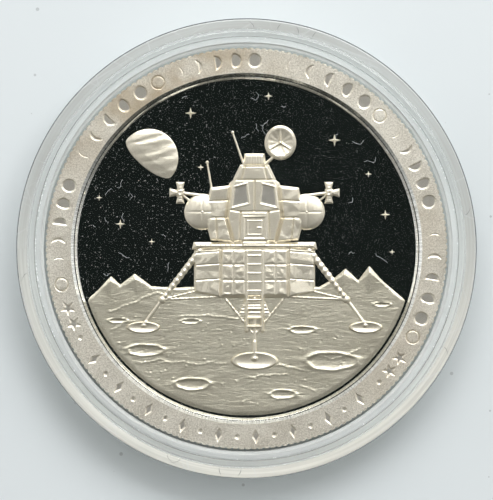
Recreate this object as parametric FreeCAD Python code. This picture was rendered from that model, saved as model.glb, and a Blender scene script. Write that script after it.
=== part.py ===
import FreeCAD, Part
import math
import os

# A proof-finish struck medal, lying face up in a clear two-piece capsule.
# +Z is up, and +Y is the top of the struck picture. The origin is the middle of the
# capsule's underside. Lengths are millimetres.
#
# The capsule is two shallow moulded cups. The base has a collar that holds the medal's
# edge. The lid's skirt slides over that collar and sits on the base's shoulder. Each half
# has a thin lip round its waist, and a fingernail in the slit between the lips opens it.
#
# The medal is one piece of silver: a reeded edge, a broad flat rim with sunk ornaments,
# a stepped bevel down to a flat mirror field, and a relief of a lander on cratered ground.
# Like any struck relief, it has drafted walls and stays lower than the rim.

# Medal blank
medal_diameter = 40.0
medal_thickness = 3.0
rim_width = 2.5
obverse_recess = 0.55
reverse_recess = 0.42
bevel_width = 0.62
bevel_step_share = 0.45
bevel_drop_share = 0.40
ledge_share = 0.16
reeds = 200
reed_depth = 0.13
reed_land_share = 0.45
edge_break = 0.10

# Capsule
window_thickness = 1.3
medal_headroom = 0.15
seat_clearance = 0.2
collar_wall = 0.9
collar_lead_in = 0.34
collar_rise = 1.3
skirt_clearance = 0.06
skirt_wall = 0.74
lip_width = 1.1
lip_thickness = 0.8
lip_slit = 0.25
lip_rounding = 0.28
face_rounding = 0.35
mould_draft = 0.08

# Sunk ornaments on the rim
ornament_depth = 0.12
moon_radius = 0.72
moon_line = 0.16
moons = 37
moons_in_cycle = 12
moon_points = 12
moons_start_deg = 191.0
moons_end_deg = -28.0
star_radius = 0.78
star_points = 5
star_waist_share = 0.42
star_angles_deg = (198.6, 203.6, 319.4, 324.4)
dot_radius = 0.24
dot_points = 10
dot_angles_deg = (208.2, 314.8)
lozenge_length = 1.5
lozenge_width = 0.72
lozenges = 17
lozenges_start_deg = 216.0
lozenges_end_deg = 307.0

# Relief: heights above the field, and the slope of its walls
relief_gap = 0.45
relief_draft_share = 0.45
ground_edge_height = 0.08
ground_height = 0.16
hill_height = 0.30
crater_lip = 0.09
sky_star_edge_height = 0.02
sky_star_height = 0.16
planet_height = 0.24
leg_axis_height = 0.04
brace_axis_height = 0.08
ladder_axis_height = 0.39
side_height = 0.32
pad_edge_height = 0.27
pad_height = 0.38
cabin_side_height = 0.38
body_height = 0.44
tank_height = 0.42
cabin_height = 0.50
panel_rise = 0.04
hatch_sink = 0.035
window_sink = 0.07
overrun = 0.2

# Ground, as shares of the field's radius: the skyline, the hills and the craters
skyline_share = (
    (-0.935, -0.300), (-0.870, -0.240), (-0.800, -0.165), (-0.745, -0.215), (-0.660, -0.150),
    (-0.560, -0.225), (-0.400, -0.232), (-0.200, -0.222), (0.040, -0.216), (0.260, -0.220),
    (0.430, -0.228), (0.520, -0.175), (0.585, -0.120), (0.660, -0.190), (0.725, -0.105),
    (0.800, -0.190), (0.870, -0.250), (0.930, -0.300),
)
# Each hill: left foot, front foot, right foot, the point of the skyline behind, and the peak
hills_share = (
    ((-0.885, -0.265), (-0.800, -0.345), (-0.740, -0.225), (-0.800, -0.168), (-0.803, -0.190)),
    ((-0.745, -0.235), (-0.640, -0.340), (-0.555, -0.232), (-0.660, -0.153), (-0.655, -0.178)),
    ((0.440, -0.240), (0.570, -0.350), (0.655, -0.205), (0.585, -0.123), (0.580, -0.150)),
    ((0.655, -0.215), (0.720, -0.330), (0.865, -0.255), (0.725, -0.108), (0.728, -0.138)),
)
# Each crater: centre across, centre up, half width and half depth
craters_share = (
    (0.500, -0.665, 0.150, 0.050),
    (-0.600, -0.600, 0.105, 0.032),
    (0.330, -0.480, 0.075, 0.019),
    (-0.320, -0.800, 0.100, 0.033),
    (0.800, -0.330, 0.050, 0.012),
    (0.215, -0.860, 0.075, 0.024),
    (-0.760, -0.425, 0.055, 0.013),
    (-0.330, -0.430, 0.055, 0.013),
)
crater_points = 16
crater_foot_share = 1.25
crater_crest_share = 0.92
crater_floor_share = 0.62
crater_depth_share = 0.60

# Sky, as shares of the field's radius: each star's centre and reach, and the planet
sky_stars_share = (
    (-0.745, 0.145, 0.030), (-0.330, 0.800, 0.036), (0.130, 0.900, 0.026), (-0.870, 0.300, 0.020),
    (0.520, 0.640, 0.038), (0.820, 0.200, 0.030), (0.720, 0.440, 0.020), (-0.560, 0.040, 0.020),
    (-0.270, 0.480, 0.020), (0.860, -0.020, 0.018),
)
sky_star_waist_share = 0.3
planet_x_share = -0.575
planet_y_share = 0.535
planet_radius_share = 0.172
planet_tilt_deg = 50.0
planet_terminator_share = 0.35
planet_points = 12

# The lander seen from the front, as shares of its height from the ground under its middle
lander_height = 23.0
lander_x = 0.8
lander_y = -9.8
stage_face_share = ((-0.147, 0.215), (0.147, 0.215), (0.147, 0.430), (-0.147, 0.430))
stage_side_share = ((0.147, 0.215), (0.262, 0.236), (0.262, 0.418), (0.147, 0.430))
panel_columns_share = ((-0.138, -0.094), (-0.088, -0.044), (0.044, 0.088), (0.094, 0.138))
panel_rows_share = ((0.226, 0.286), (0.294, 0.354), (0.362, 0.416))
deck_share = ((-0.272, 0.422), (0.272, 0.422), (0.264, 0.454), (-0.264, 0.454))
bell_share = ((-0.042, 0.216), (-0.078, 0.130), (0.078, 0.130), (0.042, 0.216))
cabin_face_share = (
    (-0.092, 0.452), (0.092, 0.452), (0.122, 0.560), (0.106, 0.700),
    (0.062, 0.790), (-0.062, 0.790), (-0.106, 0.700), (-0.122, 0.560),
)
cabin_side_share = (
    (0.092, 0.452), (0.190, 0.462), (0.216, 0.560), (0.192, 0.690), (0.106, 0.700), (0.122, 0.560),
)
hatch_share = ((-0.045, 0.470), (0.045, 0.470), (0.045, 0.562), (-0.045, 0.562))
window_share = ((0.024, 0.622), (0.098, 0.604), (0.086, 0.692), (0.034, 0.706))
porch_share = ((-0.068, 0.424), (0.068, 0.424), (0.058, 0.464), (-0.058, 0.464))
drum_share = ((-0.050, 0.784), (0.050, 0.784), (0.044, 0.838), (-0.044, 0.838))
tank_share = (0.226, 0.585)
tank_radius_share = 0.078
thruster_share = (0.322, 0.668)
thruster_root_share = (0.180, 0.650)
thruster_block_share = 0.017
nozzle_throat_share = 0.008
nozzle_mouth_share = 0.019
nozzle_reach_share = 0.030
dish_share = (0.112, 0.885)
dish_size_share = (0.062, 0.068)
dish_hollow_share = 0.82
dish_points = 20
dish_mast_share = ((0.045, 0.790), (0.095, 0.835))
aerials_share = (((-0.045, 0.785), (-0.095, 0.930)), ((-0.180, 0.650), (-0.205, 0.800)))
leg_share = ((0.235, 0.420), (0.400, 0.205), (0.472, 0.108))
brace_roots_share = ((0.258, 0.240), (0.140, 0.218))
side_pad_share = (0.482, 0.085)
side_pad_size_share = (0.078, 0.027)
front_leg_share = ((0.0, 0.215), (0.0, -0.040))
front_brace_share = ((0.135, 0.220), (0.0, 0.050))
front_pad_share = (0.0, -0.060)
front_pad_size_share = (0.108, 0.041)
pad_crown_share = 0.86
ladder_half_share = 0.034
ladder_top_share = 0.415
ladder_foot_share = 0.070
rungs = 9
strut_radius = 0.31
piston_radius = 0.22
brace_radius = 0.15
rail_radius = 0.12
rung_radius = 0.095
aerial_radius = 0.09
bar_sides = 4
dome_points = 24
dome_rings = 4

# Worked out from the sizes above
medal_radius = medal_diameter / 2
medal_bottom = window_thickness
medal_top = medal_bottom + medal_thickness
rim_inner_radius = medal_radius - rim_width
field_radius = rim_inner_radius - bevel_width
field_z = medal_top - obverse_recess
relief_radius = field_radius - relief_gap
ornament_radius = medal_radius - rim_width / 2
seat_radius = medal_radius + seat_clearance
collar_radius = seat_radius + collar_wall
skirt_radius = collar_radius + skirt_clearance
body_radius = skirt_radius + skirt_wall
capsule_radius = body_radius + lip_width
shoulder_z = medal_top - collar_rise
ceiling_z = medal_top + medal_headroom
lid_top = ceiling_z + window_thickness

UP = FreeCAD.Vector(0, 0, 1)
ORIGIN = FreeCAD.Vector(0, 0, 0)
same_place = 1e-6


def point(x, y, z=0.0):
    return FreeCAD.Vector(x, y, z)


def on_circle(radius, degrees, centre=(0.0, 0.0)):
    a = math.radians(degrees)
    return (centre[0] + radius * math.cos(a), centre[1] + radius * math.sin(a))


def ellipse(x, y, across, along, points):
    steps = [2 * math.pi * i / points for i in range(points)]
    return [(x + across * math.cos(a), y + along * math.sin(a)) for a in steps]


def turned(profile):
    """A solid of revolution about Z from (radius, height) points."""
    corners = [point(r, 0, z) for r, z in profile]
    return Part.Face(Part.makePolygon(corners + corners[:1])).revolve(ORIGIN, UP, 360)


def rounded_rings(solid, radius, rings):
    """Rounds the circular edges that lie at the given (radius, height) places."""
    chosen = []
    for edge in solid.Edges:
        curve = edge.Curve
        if not isinstance(curve, Part.Circle):
            continue
        for r, z in rings:
            if abs(curve.Radius - r) < same_place and abs(curve.Center.z - z) < same_place:
                chosen.append(edge)
    return solid.makeFillet(radius, chosen)


def polygon_face(corners):
    return Part.Face(Part.makePolygon(corners + corners[:1]))


def closed(faces):
    """The solid that the faces enclose, the right way out."""
    solid = Part.Solid(Part.Shell(faces))
    if solid.Volume < 0:
        solid.reverse()
    return solid


def stacked(rings):
    """A flat-faced solid through rings of corners, one above the other."""
    faces = [polygon_face(rings[0]), polygon_face(rings[-1])]
    count = len(rings[0])
    for lower, upper in zip(rings, rings[1:]):
        for i in range(count):
            j = (i + 1) % count
            faces.append(polygon_face([lower[i], lower[j], upper[j], upper[i]]))
    return closed(faces)


def inset(outline, distance):
    """The outline with each side moved inwards by the same distance."""
    count = len(outline)
    area = sum(
        outline[i][0] * outline[(i + 1) % count][1] - outline[(i + 1) % count][0] * outline[i][1]
        for i in range(count)
    )
    turn = math.copysign(distance, area)
    moved = []
    for i in range(count):
        (ax, ay), (bx, by), (cx, cy) = outline[i - 1], outline[i], outline[(i + 1) % count]
        a, c = math.hypot(bx - ax, by - ay), math.hypot(cx - bx, cy - by)
        n1 = (-(by - ay) / a, (bx - ax) / a)
        n2 = (-(cy - by) / c, (cx - bx) / c)
        scale = turn / (1 + n1[0] * n2[0] + n1[1] * n2[1])
        moved.append((bx + (n1[0] + n2[0]) * scale, by + (n1[1] + n2[1]) * scale))
    return moved


def boss(outline, height, base=0.0):
    """A block raised from the field, its walls drafted from a base height upwards."""
    top = inset(outline, (height - base) * relief_draft_share)
    return stacked(
        [
            [point(x, y, field_z - overrun) for x, y in outline],
            [point(x, y, field_z + base) for x, y in outline],
            [point(x, y, field_z + height) for x, y in top],
        ]
    )


def peak(outline, summit, base_height, height):
    """A faceted rise from an outline at one height to a single point."""
    foot = [point(x, y, field_z - overrun) for x, y in outline]
    rim = [point(x, y, field_z + base_height) for x, y in outline]
    top = point(summit[0], summit[1], field_z + height)
    faces = [polygon_face(foot)]
    count = len(outline)
    for i in range(count):
        j = (i + 1) % count
        faces.append(polygon_face([foot[i], foot[j], rim[j], rim[i]]))
        faces.append(polygon_face([rim[i], rim[j], top]))
    return closed(faces)


def bar(start, end, radius, axis_height):
    """A rod as a die leaves it: rounded above its axis, and straight down to the field."""
    along = point(end[0] - start[0], end[1] - start[1])
    aside = point(-along.y, along.x).normalize()
    axis = point(start[0], start[1], field_z + axis_height)
    foot = point(start[0], start[1], field_z - overrun)
    corners = [foot + aside * radius, foot - aside * radius]
    for i in range(bar_sides + 1):
        a = math.pi * i / bar_sides
        corners.append(axis - aside * (radius * math.cos(a)) + UP * (radius * math.sin(a)))
    return polygon_face(corners).extrude(along)


def dome(outline, x, y, height):
    """A low round cap over a point, faceted in rings, reaching as far as the outline."""
    rings = [[point(px, py, field_z - overrun) for px, py in outline]]
    for i in range(dome_rings):
        share = math.cos(math.pi / 2 * i / dome_rings)
        rise = math.sqrt(1 - share ** 2)
        rings.append(
            [point(x + (px - x) * share, y + (py - y) * share, field_z + height * rise) for px, py in outline]
        )
    return stacked(rings)


# The medal's blank

def reeded_edge():
    """The blank seen from above: flat lands with a V groove between each pair."""
    pitch = 360 / reeds
    outline = []
    for i in range(reeds):
        start = i * pitch
        land_end = start + pitch * reed_land_share
        outline.append(on_circle(medal_radius, start))
        outline.append(on_circle(medal_radius, land_end))
        outline.append(on_circle(medal_radius - reed_depth, (land_end + start + pitch) / 2))
    shrink = (medal_radius - edge_break) / medal_radius
    levels = (
        (medal_bottom, shrink), (medal_bottom + edge_break, 1),
        (medal_top - edge_break, 1), (medal_top, shrink),
    )
    return stacked([[point(x * k, y * k, z) for x, y in outline] for z, k in levels])


def blank():
    step_radius = rim_inner_radius - bevel_width * bevel_step_share
    step_z = medal_top - obverse_recess * bevel_drop_share
    ledge = bevel_width * ledge_share
    face = turned(
        [
            (0, medal_top + overrun), (rim_inner_radius, medal_top + overrun),
            (rim_inner_radius, medal_top), (step_radius, step_z), (step_radius - ledge, step_z),
            (field_radius, field_z), (0, field_z),
        ]
    )
    back = turned(
        [
            (0, medal_bottom - overrun), (rim_inner_radius, medal_bottom - overrun),
            (rim_inner_radius, medal_bottom), (field_radius, medal_bottom + reverse_recess),
            (0, medal_bottom + reverse_recess),
        ]
    )
    return reeded_edge().cut([face, back])


# Sunk ornaments on the rim

def sunk_on_rim(outline, degrees, hole=None):
    """A cutter for a sunk shape, drawn about the origin with its top away from the middle."""
    turn = math.radians(degrees - 90)
    x0, y0 = on_circle(ornament_radius, degrees)

    def placed(points):
        return [
            point(
                x0 + x * math.cos(turn) - y * math.sin(turn),
                y0 + x * math.sin(turn) + y * math.cos(turn),
                medal_top - ornament_depth,
            )
            for x, y in points
        ]

    depth = point(0, 0, ornament_depth + overrun)
    tool = polygon_face(placed(outline)).extrude(depth)
    return tool.cut(polygon_face(placed(hole)).extrude(depth)) if hole else tool


def moon_outline(cycle_share):
    """The lit part of a moon, between its limb and its terminator."""
    side = 1 if cycle_share < 0.5 else -1
    bulge = side * math.cos(2 * math.pi * cycle_share)
    steps = [math.pi * i / moon_points for i in range(moon_points + 1)]
    limb = [(side * moon_radius * math.sin(a), moon_radius * math.cos(a)) for a in steps]
    terminator = [
        (bulge * moon_radius * math.sin(a), -moon_radius * math.cos(a)) for a in steps[1:-1]
    ]
    return limb + terminator


def star_outline(radius, points, waist_share, centre=(0.0, 0.0), start_deg=90.0):
    outline = []
    for i in range(2 * points):
        reach = radius if i % 2 == 0 else radius * waist_share
        outline.append(on_circle(reach, start_deg + 180 * i / points, centre))
    return outline


def spread(start, end, count):
    return [start + (end - start) * i / (count - 1) for i in range(count)]


def ornaments():
    cutters = []
    for i, angle in enumerate(spread(moons_start_deg, moons_end_deg, moons)):
        in_cycle = i % moons_in_cycle
        if in_cycle == 0:
            new_moon = ellipse(0, 0, moon_radius, moon_radius, 2 * moon_points)
            cutters.append(sunk_on_rim(new_moon, angle, inset(new_moon, moon_line)))
        else:
            cutters.append(sunk_on_rim(moon_outline(in_cycle / moons_in_cycle), angle))
    star = star_outline(star_radius, star_points, star_waist_share)
    dot = ellipse(0, 0, dot_radius, dot_radius, dot_points)
    lozenge = ellipse(0, 0, lozenge_width / 2, lozenge_length / 2, 4)
    cutters += [sunk_on_rim(star, angle) for angle in star_angles_deg]
    cutters += [sunk_on_rim(dot, angle) for angle in dot_angles_deg]
    for i, angle in enumerate(spread(lozenges_start_deg, lozenges_end_deg, lozenges)):
        cutters.append(sunk_on_rim(dot if i % 2 else lozenge, angle))
    return cutters


# The ground: a plain under a skyline, with hills along it and craters

def on_field(share):
    return (field_radius * share[0], field_radius * share[1])


def ground():
    skyline = [on_field(share) for share in skyline_share]
    start = math.degrees(math.atan2(skyline[0][1], skyline[0][0]))
    end = math.degrees(math.atan2(skyline[-1][1], skyline[-1][0]))

    def layer(gap, z):
        first = on_circle(relief_radius - gap, start)
        middle = on_circle(relief_radius - gap, -90)
        last = on_circle(relief_radius - gap, end)
        line = [last] + [(x, y - gap) for x, y in skyline[-2:0:-1]] + [first]
        edges = [Part.makeLine(point(*a, z), point(*b, z)) for a, b in zip(line, line[1:])]
        edges.append(Part.Arc(point(*first, z), point(*middle, z), point(*last, z)).toShape())
        return Part.Wire(edges)

    step = ground_height - ground_edge_height
    block = Part.Face(layer(0, field_z - overrun)).extrude(point(0, 0, overrun + ground_edge_height))
    crown = Part.Face(layer(step, field_z)).extrude(point(0, 0, ground_height))
    return block.fuse(crown)


def hills():
    blocks = []
    for *foot, summit in hills_share:
        outline = [on_field(share) for share in foot]
        blocks.append(peak(outline, on_field(summit), ground_edge_height, hill_height))
    return blocks


def craters():
    """Raised rings to add, and the bowls to cut out of them."""
    rings, bowls = [], []
    crest = field_z + ground_height + crater_lip
    floor = crest - (ground_height + crater_lip) * crater_depth_share
    for across_at, up_at, half_width, half_depth in craters_share:
        x, y = on_field((across_at, up_at))
        across, along = on_field((half_width, half_depth))

        def level(share, z):
            flat = ellipse(x, y, across * share, along * share, crater_points)
            return [point(px, py, z) for px, py in flat]

        rings.append(
            stacked([level(crater_foot_share, field_z + ground_edge_height), level(1, crest)])
        )
        slope_share = (crater_crest_share - crater_floor_share) / (crest - floor)
        above_share = crater_crest_share + slope_share * overrun
        bowls.append(stacked([level(crater_floor_share, floor), level(above_share, crest + overrun)]))
    return rings, bowls


# The sky

def planet():
    """The lit side of a planet: a low dome, kept between its limb and its terminator."""
    x, y = on_field((planet_x_share, planet_y_share))
    radius = field_radius * planet_radius_share
    reach = radius + overrun
    tilt = math.radians(planet_tilt_deg)
    steps = [math.pi * i / planet_points - math.pi / 2 for i in range(planet_points + 1)]
    limb = [(reach * math.cos(a), reach * math.sin(a)) for a in steps]
    terminator = [
        (-planet_terminator_share * reach * math.cos(a), -reach * math.sin(a)) for a in steps[1:-1]
    ]
    outline = [
        point(
            x + px * math.cos(tilt) - py * math.sin(tilt),
            y + px * math.sin(tilt) + py * math.cos(tilt),
            field_z - overrun,
        )
        for px, py in limb + terminator
    ]
    keep = polygon_face(outline).extrude(point(0, 0, overrun + planet_height + overrun))
    return dome(ellipse(x, y, radius, radius, dome_points), x, y, planet_height).common(keep)


def sky_stars():
    """Small raised stars, each a four-pointed rise."""
    blocks = []
    for across_at, up_at, reach_share in sky_stars_share:
        centre = on_field((across_at, up_at))
        reach = field_radius * reach_share
        outline = star_outline(reach, 4, sky_star_waist_share, centre)
        blocks.append(peak(outline, centre, sky_star_edge_height, sky_star_height))
    return blocks


# The lander

def on_lander(share, side=1):
    return (lander_x + side * lander_height * share[0], lander_y + lander_height * share[1])


def lander_outline(shares, side=1):
    return [on_lander(share, side) for share in shares]


def lander_size(size_share):
    return (lander_height * size_share[0], lander_height * size_share[1])


def stage():
    """The lower stage: a flat front, two sides that turn away, the deck and the bell."""
    blocks = [boss(lander_outline(stage_face_share), body_height)]
    corner = abs(stage_face_share[0][0])
    for side in (1, -1):
        outline = lander_outline(stage_side_share, side)
        heights = [
            body_height if abs(share[0]) <= corner else side_height for share in stage_side_share
        ]
        foot = [point(x, y, field_z - overrun) for x, y in outline]
        top = [point(x, y, field_z + h) for (x, y), h in zip(outline, heights)]
        blocks.append(stacked([foot, top]))
    for left, right in panel_columns_share:
        for bottom, top in panel_rows_share:
            panel = lander_outline(((left, bottom), (right, bottom), (right, top), (left, top)))
            blocks.append(boss(panel, body_height + panel_rise, body_height))
    blocks.append(boss(lander_outline(deck_share), cabin_height))
    blocks.append(boss(lander_outline(bell_share), side_height))
    return blocks


def cabin():
    """The upper stage, and the cutters for its windows and hatch."""
    blocks = [
        boss(lander_outline(cabin_face_share), cabin_height),
        boss(lander_outline(drum_share), body_height),
        boss(lander_outline(porch_share), cabin_height),
    ]
    cuts = []

    def sink(outline, depth):
        floor = [point(x, y, field_z + cabin_height - depth) for x, y in outline]
        cuts.append(polygon_face(floor).extrude(point(0, 0, depth + overrun)))

    for side in (1, -1):
        blocks.append(boss(lander_outline(cabin_side_share, side), cabin_side_height))
        x, y = on_lander(tank_share, side)
        radius = lander_height * tank_radius_share
        blocks.append(dome(ellipse(x, y, radius, radius, dome_points), x, y, tank_height))
        sink(lander_outline(window_share, side), window_sink)
    sink(lander_outline(hatch_share), hatch_sink)
    return blocks, cuts


def thrusters():
    """A block of small nozzles on each side, on a short outrigger."""
    blocks = []
    half = lander_height * thruster_block_share
    throat = lander_height * nozzle_throat_share
    mouth = lander_height * nozzle_mouth_share
    nozzle_reach = lander_height * nozzle_reach_share
    reach = half + nozzle_reach
    for side in (1, -1):
        x, y = on_lander(thruster_share, side)
        blocks.append(bar(on_lander(thruster_root_share, side), (x, y), rail_radius, brace_axis_height))
        square = [(x - half, y - half), (x + half, y - half), (x + half, y + half), (x - half, y + half)]
        blocks.append(boss(square, side_height))
        for dx, dy in ((side, 0), (0, 1), (0, -1)):
            nozzle = [
                (x + dx * along - dy * across, y + dy * along + dx * across)
                for along, across in ((0, -throat), (reach, -mouth), (reach, mouth), (0, throat))
            ]
            blocks.append(boss(nozzle, brace_axis_height + nozzle_reach))
    return blocks


def pad(centre, size):
    """A footpad: an oval dish seen from a little above, with a flat crown."""
    x, y = centre
    across, along = size
    flat = ellipse(x, y, across, along, crater_points)
    crown = ellipse(x, y, across * pad_crown_share, along * pad_crown_share, crater_points)
    return stacked(
        [
            [point(px, py, field_z - overrun) for px, py in flat],
            [point(px, py, field_z + pad_edge_height) for px, py in flat],
            [point(px, py, field_z + pad_height) for px, py in crown],
        ]
    )


def side_legs():
    blocks = []
    for side in (1, -1):
        top, knee, foot = lander_outline(leg_share, side)
        blocks.append(bar(top, knee, strut_radius, leg_axis_height))
        blocks.append(bar(knee, foot, piston_radius, leg_axis_height))
        for root in brace_roots_share:
            blocks.append(bar(on_lander(root, side), knee, brace_radius, brace_axis_height))
        blocks.append(pad(on_lander(side_pad_share, side), lander_size(side_pad_size_share)))
    return blocks


def front_leg():
    """The leg that points at the viewer, with its ladder."""
    top, foot = lander_outline(front_leg_share)
    blocks = [
        bar(top, foot, piston_radius, leg_axis_height),
        pad(on_lander(front_pad_share), lander_size(front_pad_size_share)),
    ]
    rail_ends = ((ladder_half_share, ladder_top_share), (ladder_half_share, ladder_foot_share))
    for side in (1, -1):
        root, end = lander_outline(front_brace_share, side)
        blocks.append(bar(root, end, brace_radius, brace_axis_height))
        blocks.append(bar(*lander_outline(rail_ends, side), rail_radius, ladder_axis_height))
    for i in range(rungs):
        at = ladder_foot_share + (ladder_top_share - ladder_foot_share) * (i + 0.5) / rungs
        ends = lander_outline(((-ladder_half_share, at), (ladder_half_share, at)))
        blocks.append(bar(*ends, rung_radius, ladder_axis_height))
    return blocks


def dish_and_aerials():
    x, y = on_lander(dish_share)
    across, along = lander_size(dish_size_share)
    bowl = boss(ellipse(x, y, across, along, dish_points), side_height)
    mouth = ellipse(x, y, across * dish_hollow_share, along * dish_hollow_share, dish_points)
    bottom = point(x, y, field_z + brace_axis_height)
    rim = [point(px, py, field_z + side_height) for px, py in mouth]
    above = [point(px, py, field_z + side_height + overrun) for px, py in mouth]
    faces = [polygon_face(above)]
    for i in range(dish_points):
        j = (i + 1) % dish_points
        faces.append(polygon_face([rim[i], rim[j], above[j], above[i]]))
        faces.append(polygon_face([rim[i], rim[j], bottom]))
    blocks = [bowl.cut(closed(faces))]
    blocks.append(bar(*lander_outline(dish_mast_share), rail_radius, brace_axis_height))
    for ends in aerials_share:
        blocks.append(bar(*lander_outline(ends), aerial_radius, leg_axis_height))
    return blocks


def medal():
    cabin_blocks, cabin_cuts = cabin()
    rings, bowls = craters()
    scenery = blank().multiFuse([ground()] + hills() + rings + [planet()] + sky_stars())
    scenery = scenery.cut(bowls)
    lander = stage() + cabin_blocks + thrusters() + side_legs() + front_leg() + dish_and_aerials()
    struck = scenery.multiFuse(lander).cut(cabin_cuts + ornaments())
    return struck.removeSplitter()


# The capsule

def capsule_base():
    lip_low = shoulder_z - lip_thickness
    foot_radius = body_radius - mould_draft
    cup = turned(
        [
            (0, 0), (foot_radius, 0), (body_radius, lip_low),
            (capsule_radius, lip_low), (capsule_radius, shoulder_z),
            (collar_radius, shoulder_z), (collar_radius, medal_top),
            (seat_radius + collar_lead_in, medal_top), (seat_radius, medal_top - collar_lead_in),
            (seat_radius, window_thickness), (0, window_thickness),
        ]
    )
    cup = rounded_rings(cup, lip_rounding, [(capsule_radius, lip_low), (capsule_radius, shoulder_z)])
    return rounded_rings(cup, face_rounding, [(foot_radius, 0)])


def capsule_lid():
    lip_low = shoulder_z + lip_slit
    lip_high = lip_low + lip_thickness
    crown_radius = body_radius - mould_draft
    cup = turned(
        [
            (0, ceiling_z), (skirt_radius, ceiling_z), (skirt_radius, shoulder_z),
            (body_radius, shoulder_z), (body_radius, lip_low),
            (capsule_radius, lip_low), (capsule_radius, lip_high),
            (body_radius, lip_high), (crown_radius, lid_top), (0, lid_top),
        ]
    )
    cup = rounded_rings(cup, lip_rounding, [(capsule_radius, lip_low), (capsule_radius, lip_high)])
    return rounded_rings(cup, face_rounding, [(crown_radius, lid_top)])


os.makedirs("parts", exist_ok=True)
for name, make in (("capsule_base", capsule_base), ("capsule_lid", capsule_lid), ("medal", medal)):
    shape = make()
    volume = sum(solid.Volume for solid in shape.Solids)
    print(name, len(shape.Solids), "solids,", round(volume, 1), "mm3, valid", shape.isValid())
    shape.exportStep("parts/%s.step" % name)
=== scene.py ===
import bmesh
import bpy
import math
import numpy as np
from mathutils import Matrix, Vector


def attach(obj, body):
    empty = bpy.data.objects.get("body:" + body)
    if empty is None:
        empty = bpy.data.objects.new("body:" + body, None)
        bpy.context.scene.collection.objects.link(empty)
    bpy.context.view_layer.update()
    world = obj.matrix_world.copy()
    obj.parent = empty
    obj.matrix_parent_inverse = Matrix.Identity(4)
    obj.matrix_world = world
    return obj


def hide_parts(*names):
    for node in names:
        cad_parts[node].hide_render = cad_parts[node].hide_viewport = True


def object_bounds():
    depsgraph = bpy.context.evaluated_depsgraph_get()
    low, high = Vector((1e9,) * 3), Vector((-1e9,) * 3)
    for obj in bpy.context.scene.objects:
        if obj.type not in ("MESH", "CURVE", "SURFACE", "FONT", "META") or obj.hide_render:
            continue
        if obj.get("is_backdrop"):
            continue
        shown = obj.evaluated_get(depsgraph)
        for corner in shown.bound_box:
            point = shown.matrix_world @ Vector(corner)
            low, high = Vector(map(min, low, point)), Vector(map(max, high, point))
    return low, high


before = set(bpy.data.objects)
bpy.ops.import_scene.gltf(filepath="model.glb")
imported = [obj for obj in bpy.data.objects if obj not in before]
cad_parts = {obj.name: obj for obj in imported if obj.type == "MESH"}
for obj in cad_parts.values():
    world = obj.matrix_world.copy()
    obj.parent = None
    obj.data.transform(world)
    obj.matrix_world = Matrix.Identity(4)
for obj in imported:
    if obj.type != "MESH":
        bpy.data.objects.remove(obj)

# A proof-finish struck medal lying face up in a clear two-piece capsule, seen from straight
# above. +Z is up and +Y is the top of the struck picture. Lengths are metres.
cad_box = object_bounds()
mm = 0.001
scene = bpy.context.scene


# The light: a soft pale room, brighter low down at its left and right, with a broad lamp above
# the picture's top edge. Straight overhead, where the camera is, the ceiling has a dark patch.
# A polished coin field shows that patch, and so it looks black.
lamp_azimuth = math.radians(75)
room_azimuth = math.radians(94)
dark_edge, dark_middle = math.cos(math.radians(17)), math.cos(math.radians(11))


def feed(tree, node, inputs):
    """Fills a node's inputs: another node's output is linked, and anything else is a value."""
    for name, value in inputs.items():
        if isinstance(value, bpy.types.NodeSocket):
            tree.links.new(value, node.inputs[name])
        else:
            node.inputs[name].default_value = value


def add(tree, kind, inputs=None, **settings):
    """A new node, with its settings and its inputs."""
    node = tree.nodes.new(kind)
    for name, value in settings.items():
        setattr(node, name, value)
    feed(tree, node, inputs or {})
    return node


def math_node(tree, operation, *values, clamp=False):
    return add(
        tree, "ShaderNodeMath", dict(enumerate(values)), operation=operation, use_clamp=clamp
    ).outputs[0]


def times(tree, a, b, clamp=False):
    return math_node(tree, "MULTIPLY", a, b, clamp=clamp)


def ramp(tree, value, low, high, to_low=0.0, to_high=1.0):
    """A smooth step of a value between two limits."""
    inputs = {"Value": value, "From Min": low, "From Max": high, "To Min": to_low}
    inputs["To Max"] = to_high
    step = add(tree, "ShaderNodeMapRange", inputs, interpolation_type="SMOOTHSTEP")
    return step.outputs["Result"]


def mixed(tree, factor, a, b):
    """One colour over another, by a factor."""
    return add(tree, "ShaderNodeMix", {0: factor, 6: a, 7: b}, data_type="RGBA").outputs[2]


room = bpy.data.worlds.new("studio room")
room.use_nodes = True
scene.world = room
tree = room.node_tree
tree.nodes.clear()
direction = add(tree, "ShaderNodeTexCoord").outputs["Generated"]
split = add(tree, "ShaderNodeSeparateXYZ", {"Vector": direction})
toward_lamp = add(
    tree, "ShaderNodeVectorMath",
    {0: direction, 1: (math.cos(room_azimuth), math.sin(room_azimuth), 0)}, operation="DOT_PRODUCT",
).outputs["Value"]
wall = mixed(
    tree, ramp(tree, toward_lamp, -0.80, 0.15), (0.055, 0.056, 0.048, 1), (0.78, 0.775, 0.765, 1)
)
sideways = times(tree, split.outputs["X"], split.outputs["X"])
gain = math_node(tree, "MULTIPLY_ADD", sideways, 1.25, -0.05)
low_wall = math_node(tree, "MULTIPLY_ADD", ramp(tree, split.outputs["Z"], 0.50, 0.15), gain, 1.0)
wall = add(tree, "ShaderNodeVectorMath", {0: wall, "Scale": low_wall}, operation="SCALE").outputs[0]
overhead = ramp(tree, split.outputs["Z"], dark_edge, dark_middle)
room_colour = mixed(tree, overhead, wall, (0.009, 0.012, 0.011, 1))
background = add(tree, "ShaderNodeBackground", {"Color": room_colour, "Strength": 1.0})
add(tree, "ShaderNodeOutputWorld", {"Surface": background.outputs[0]})

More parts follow.
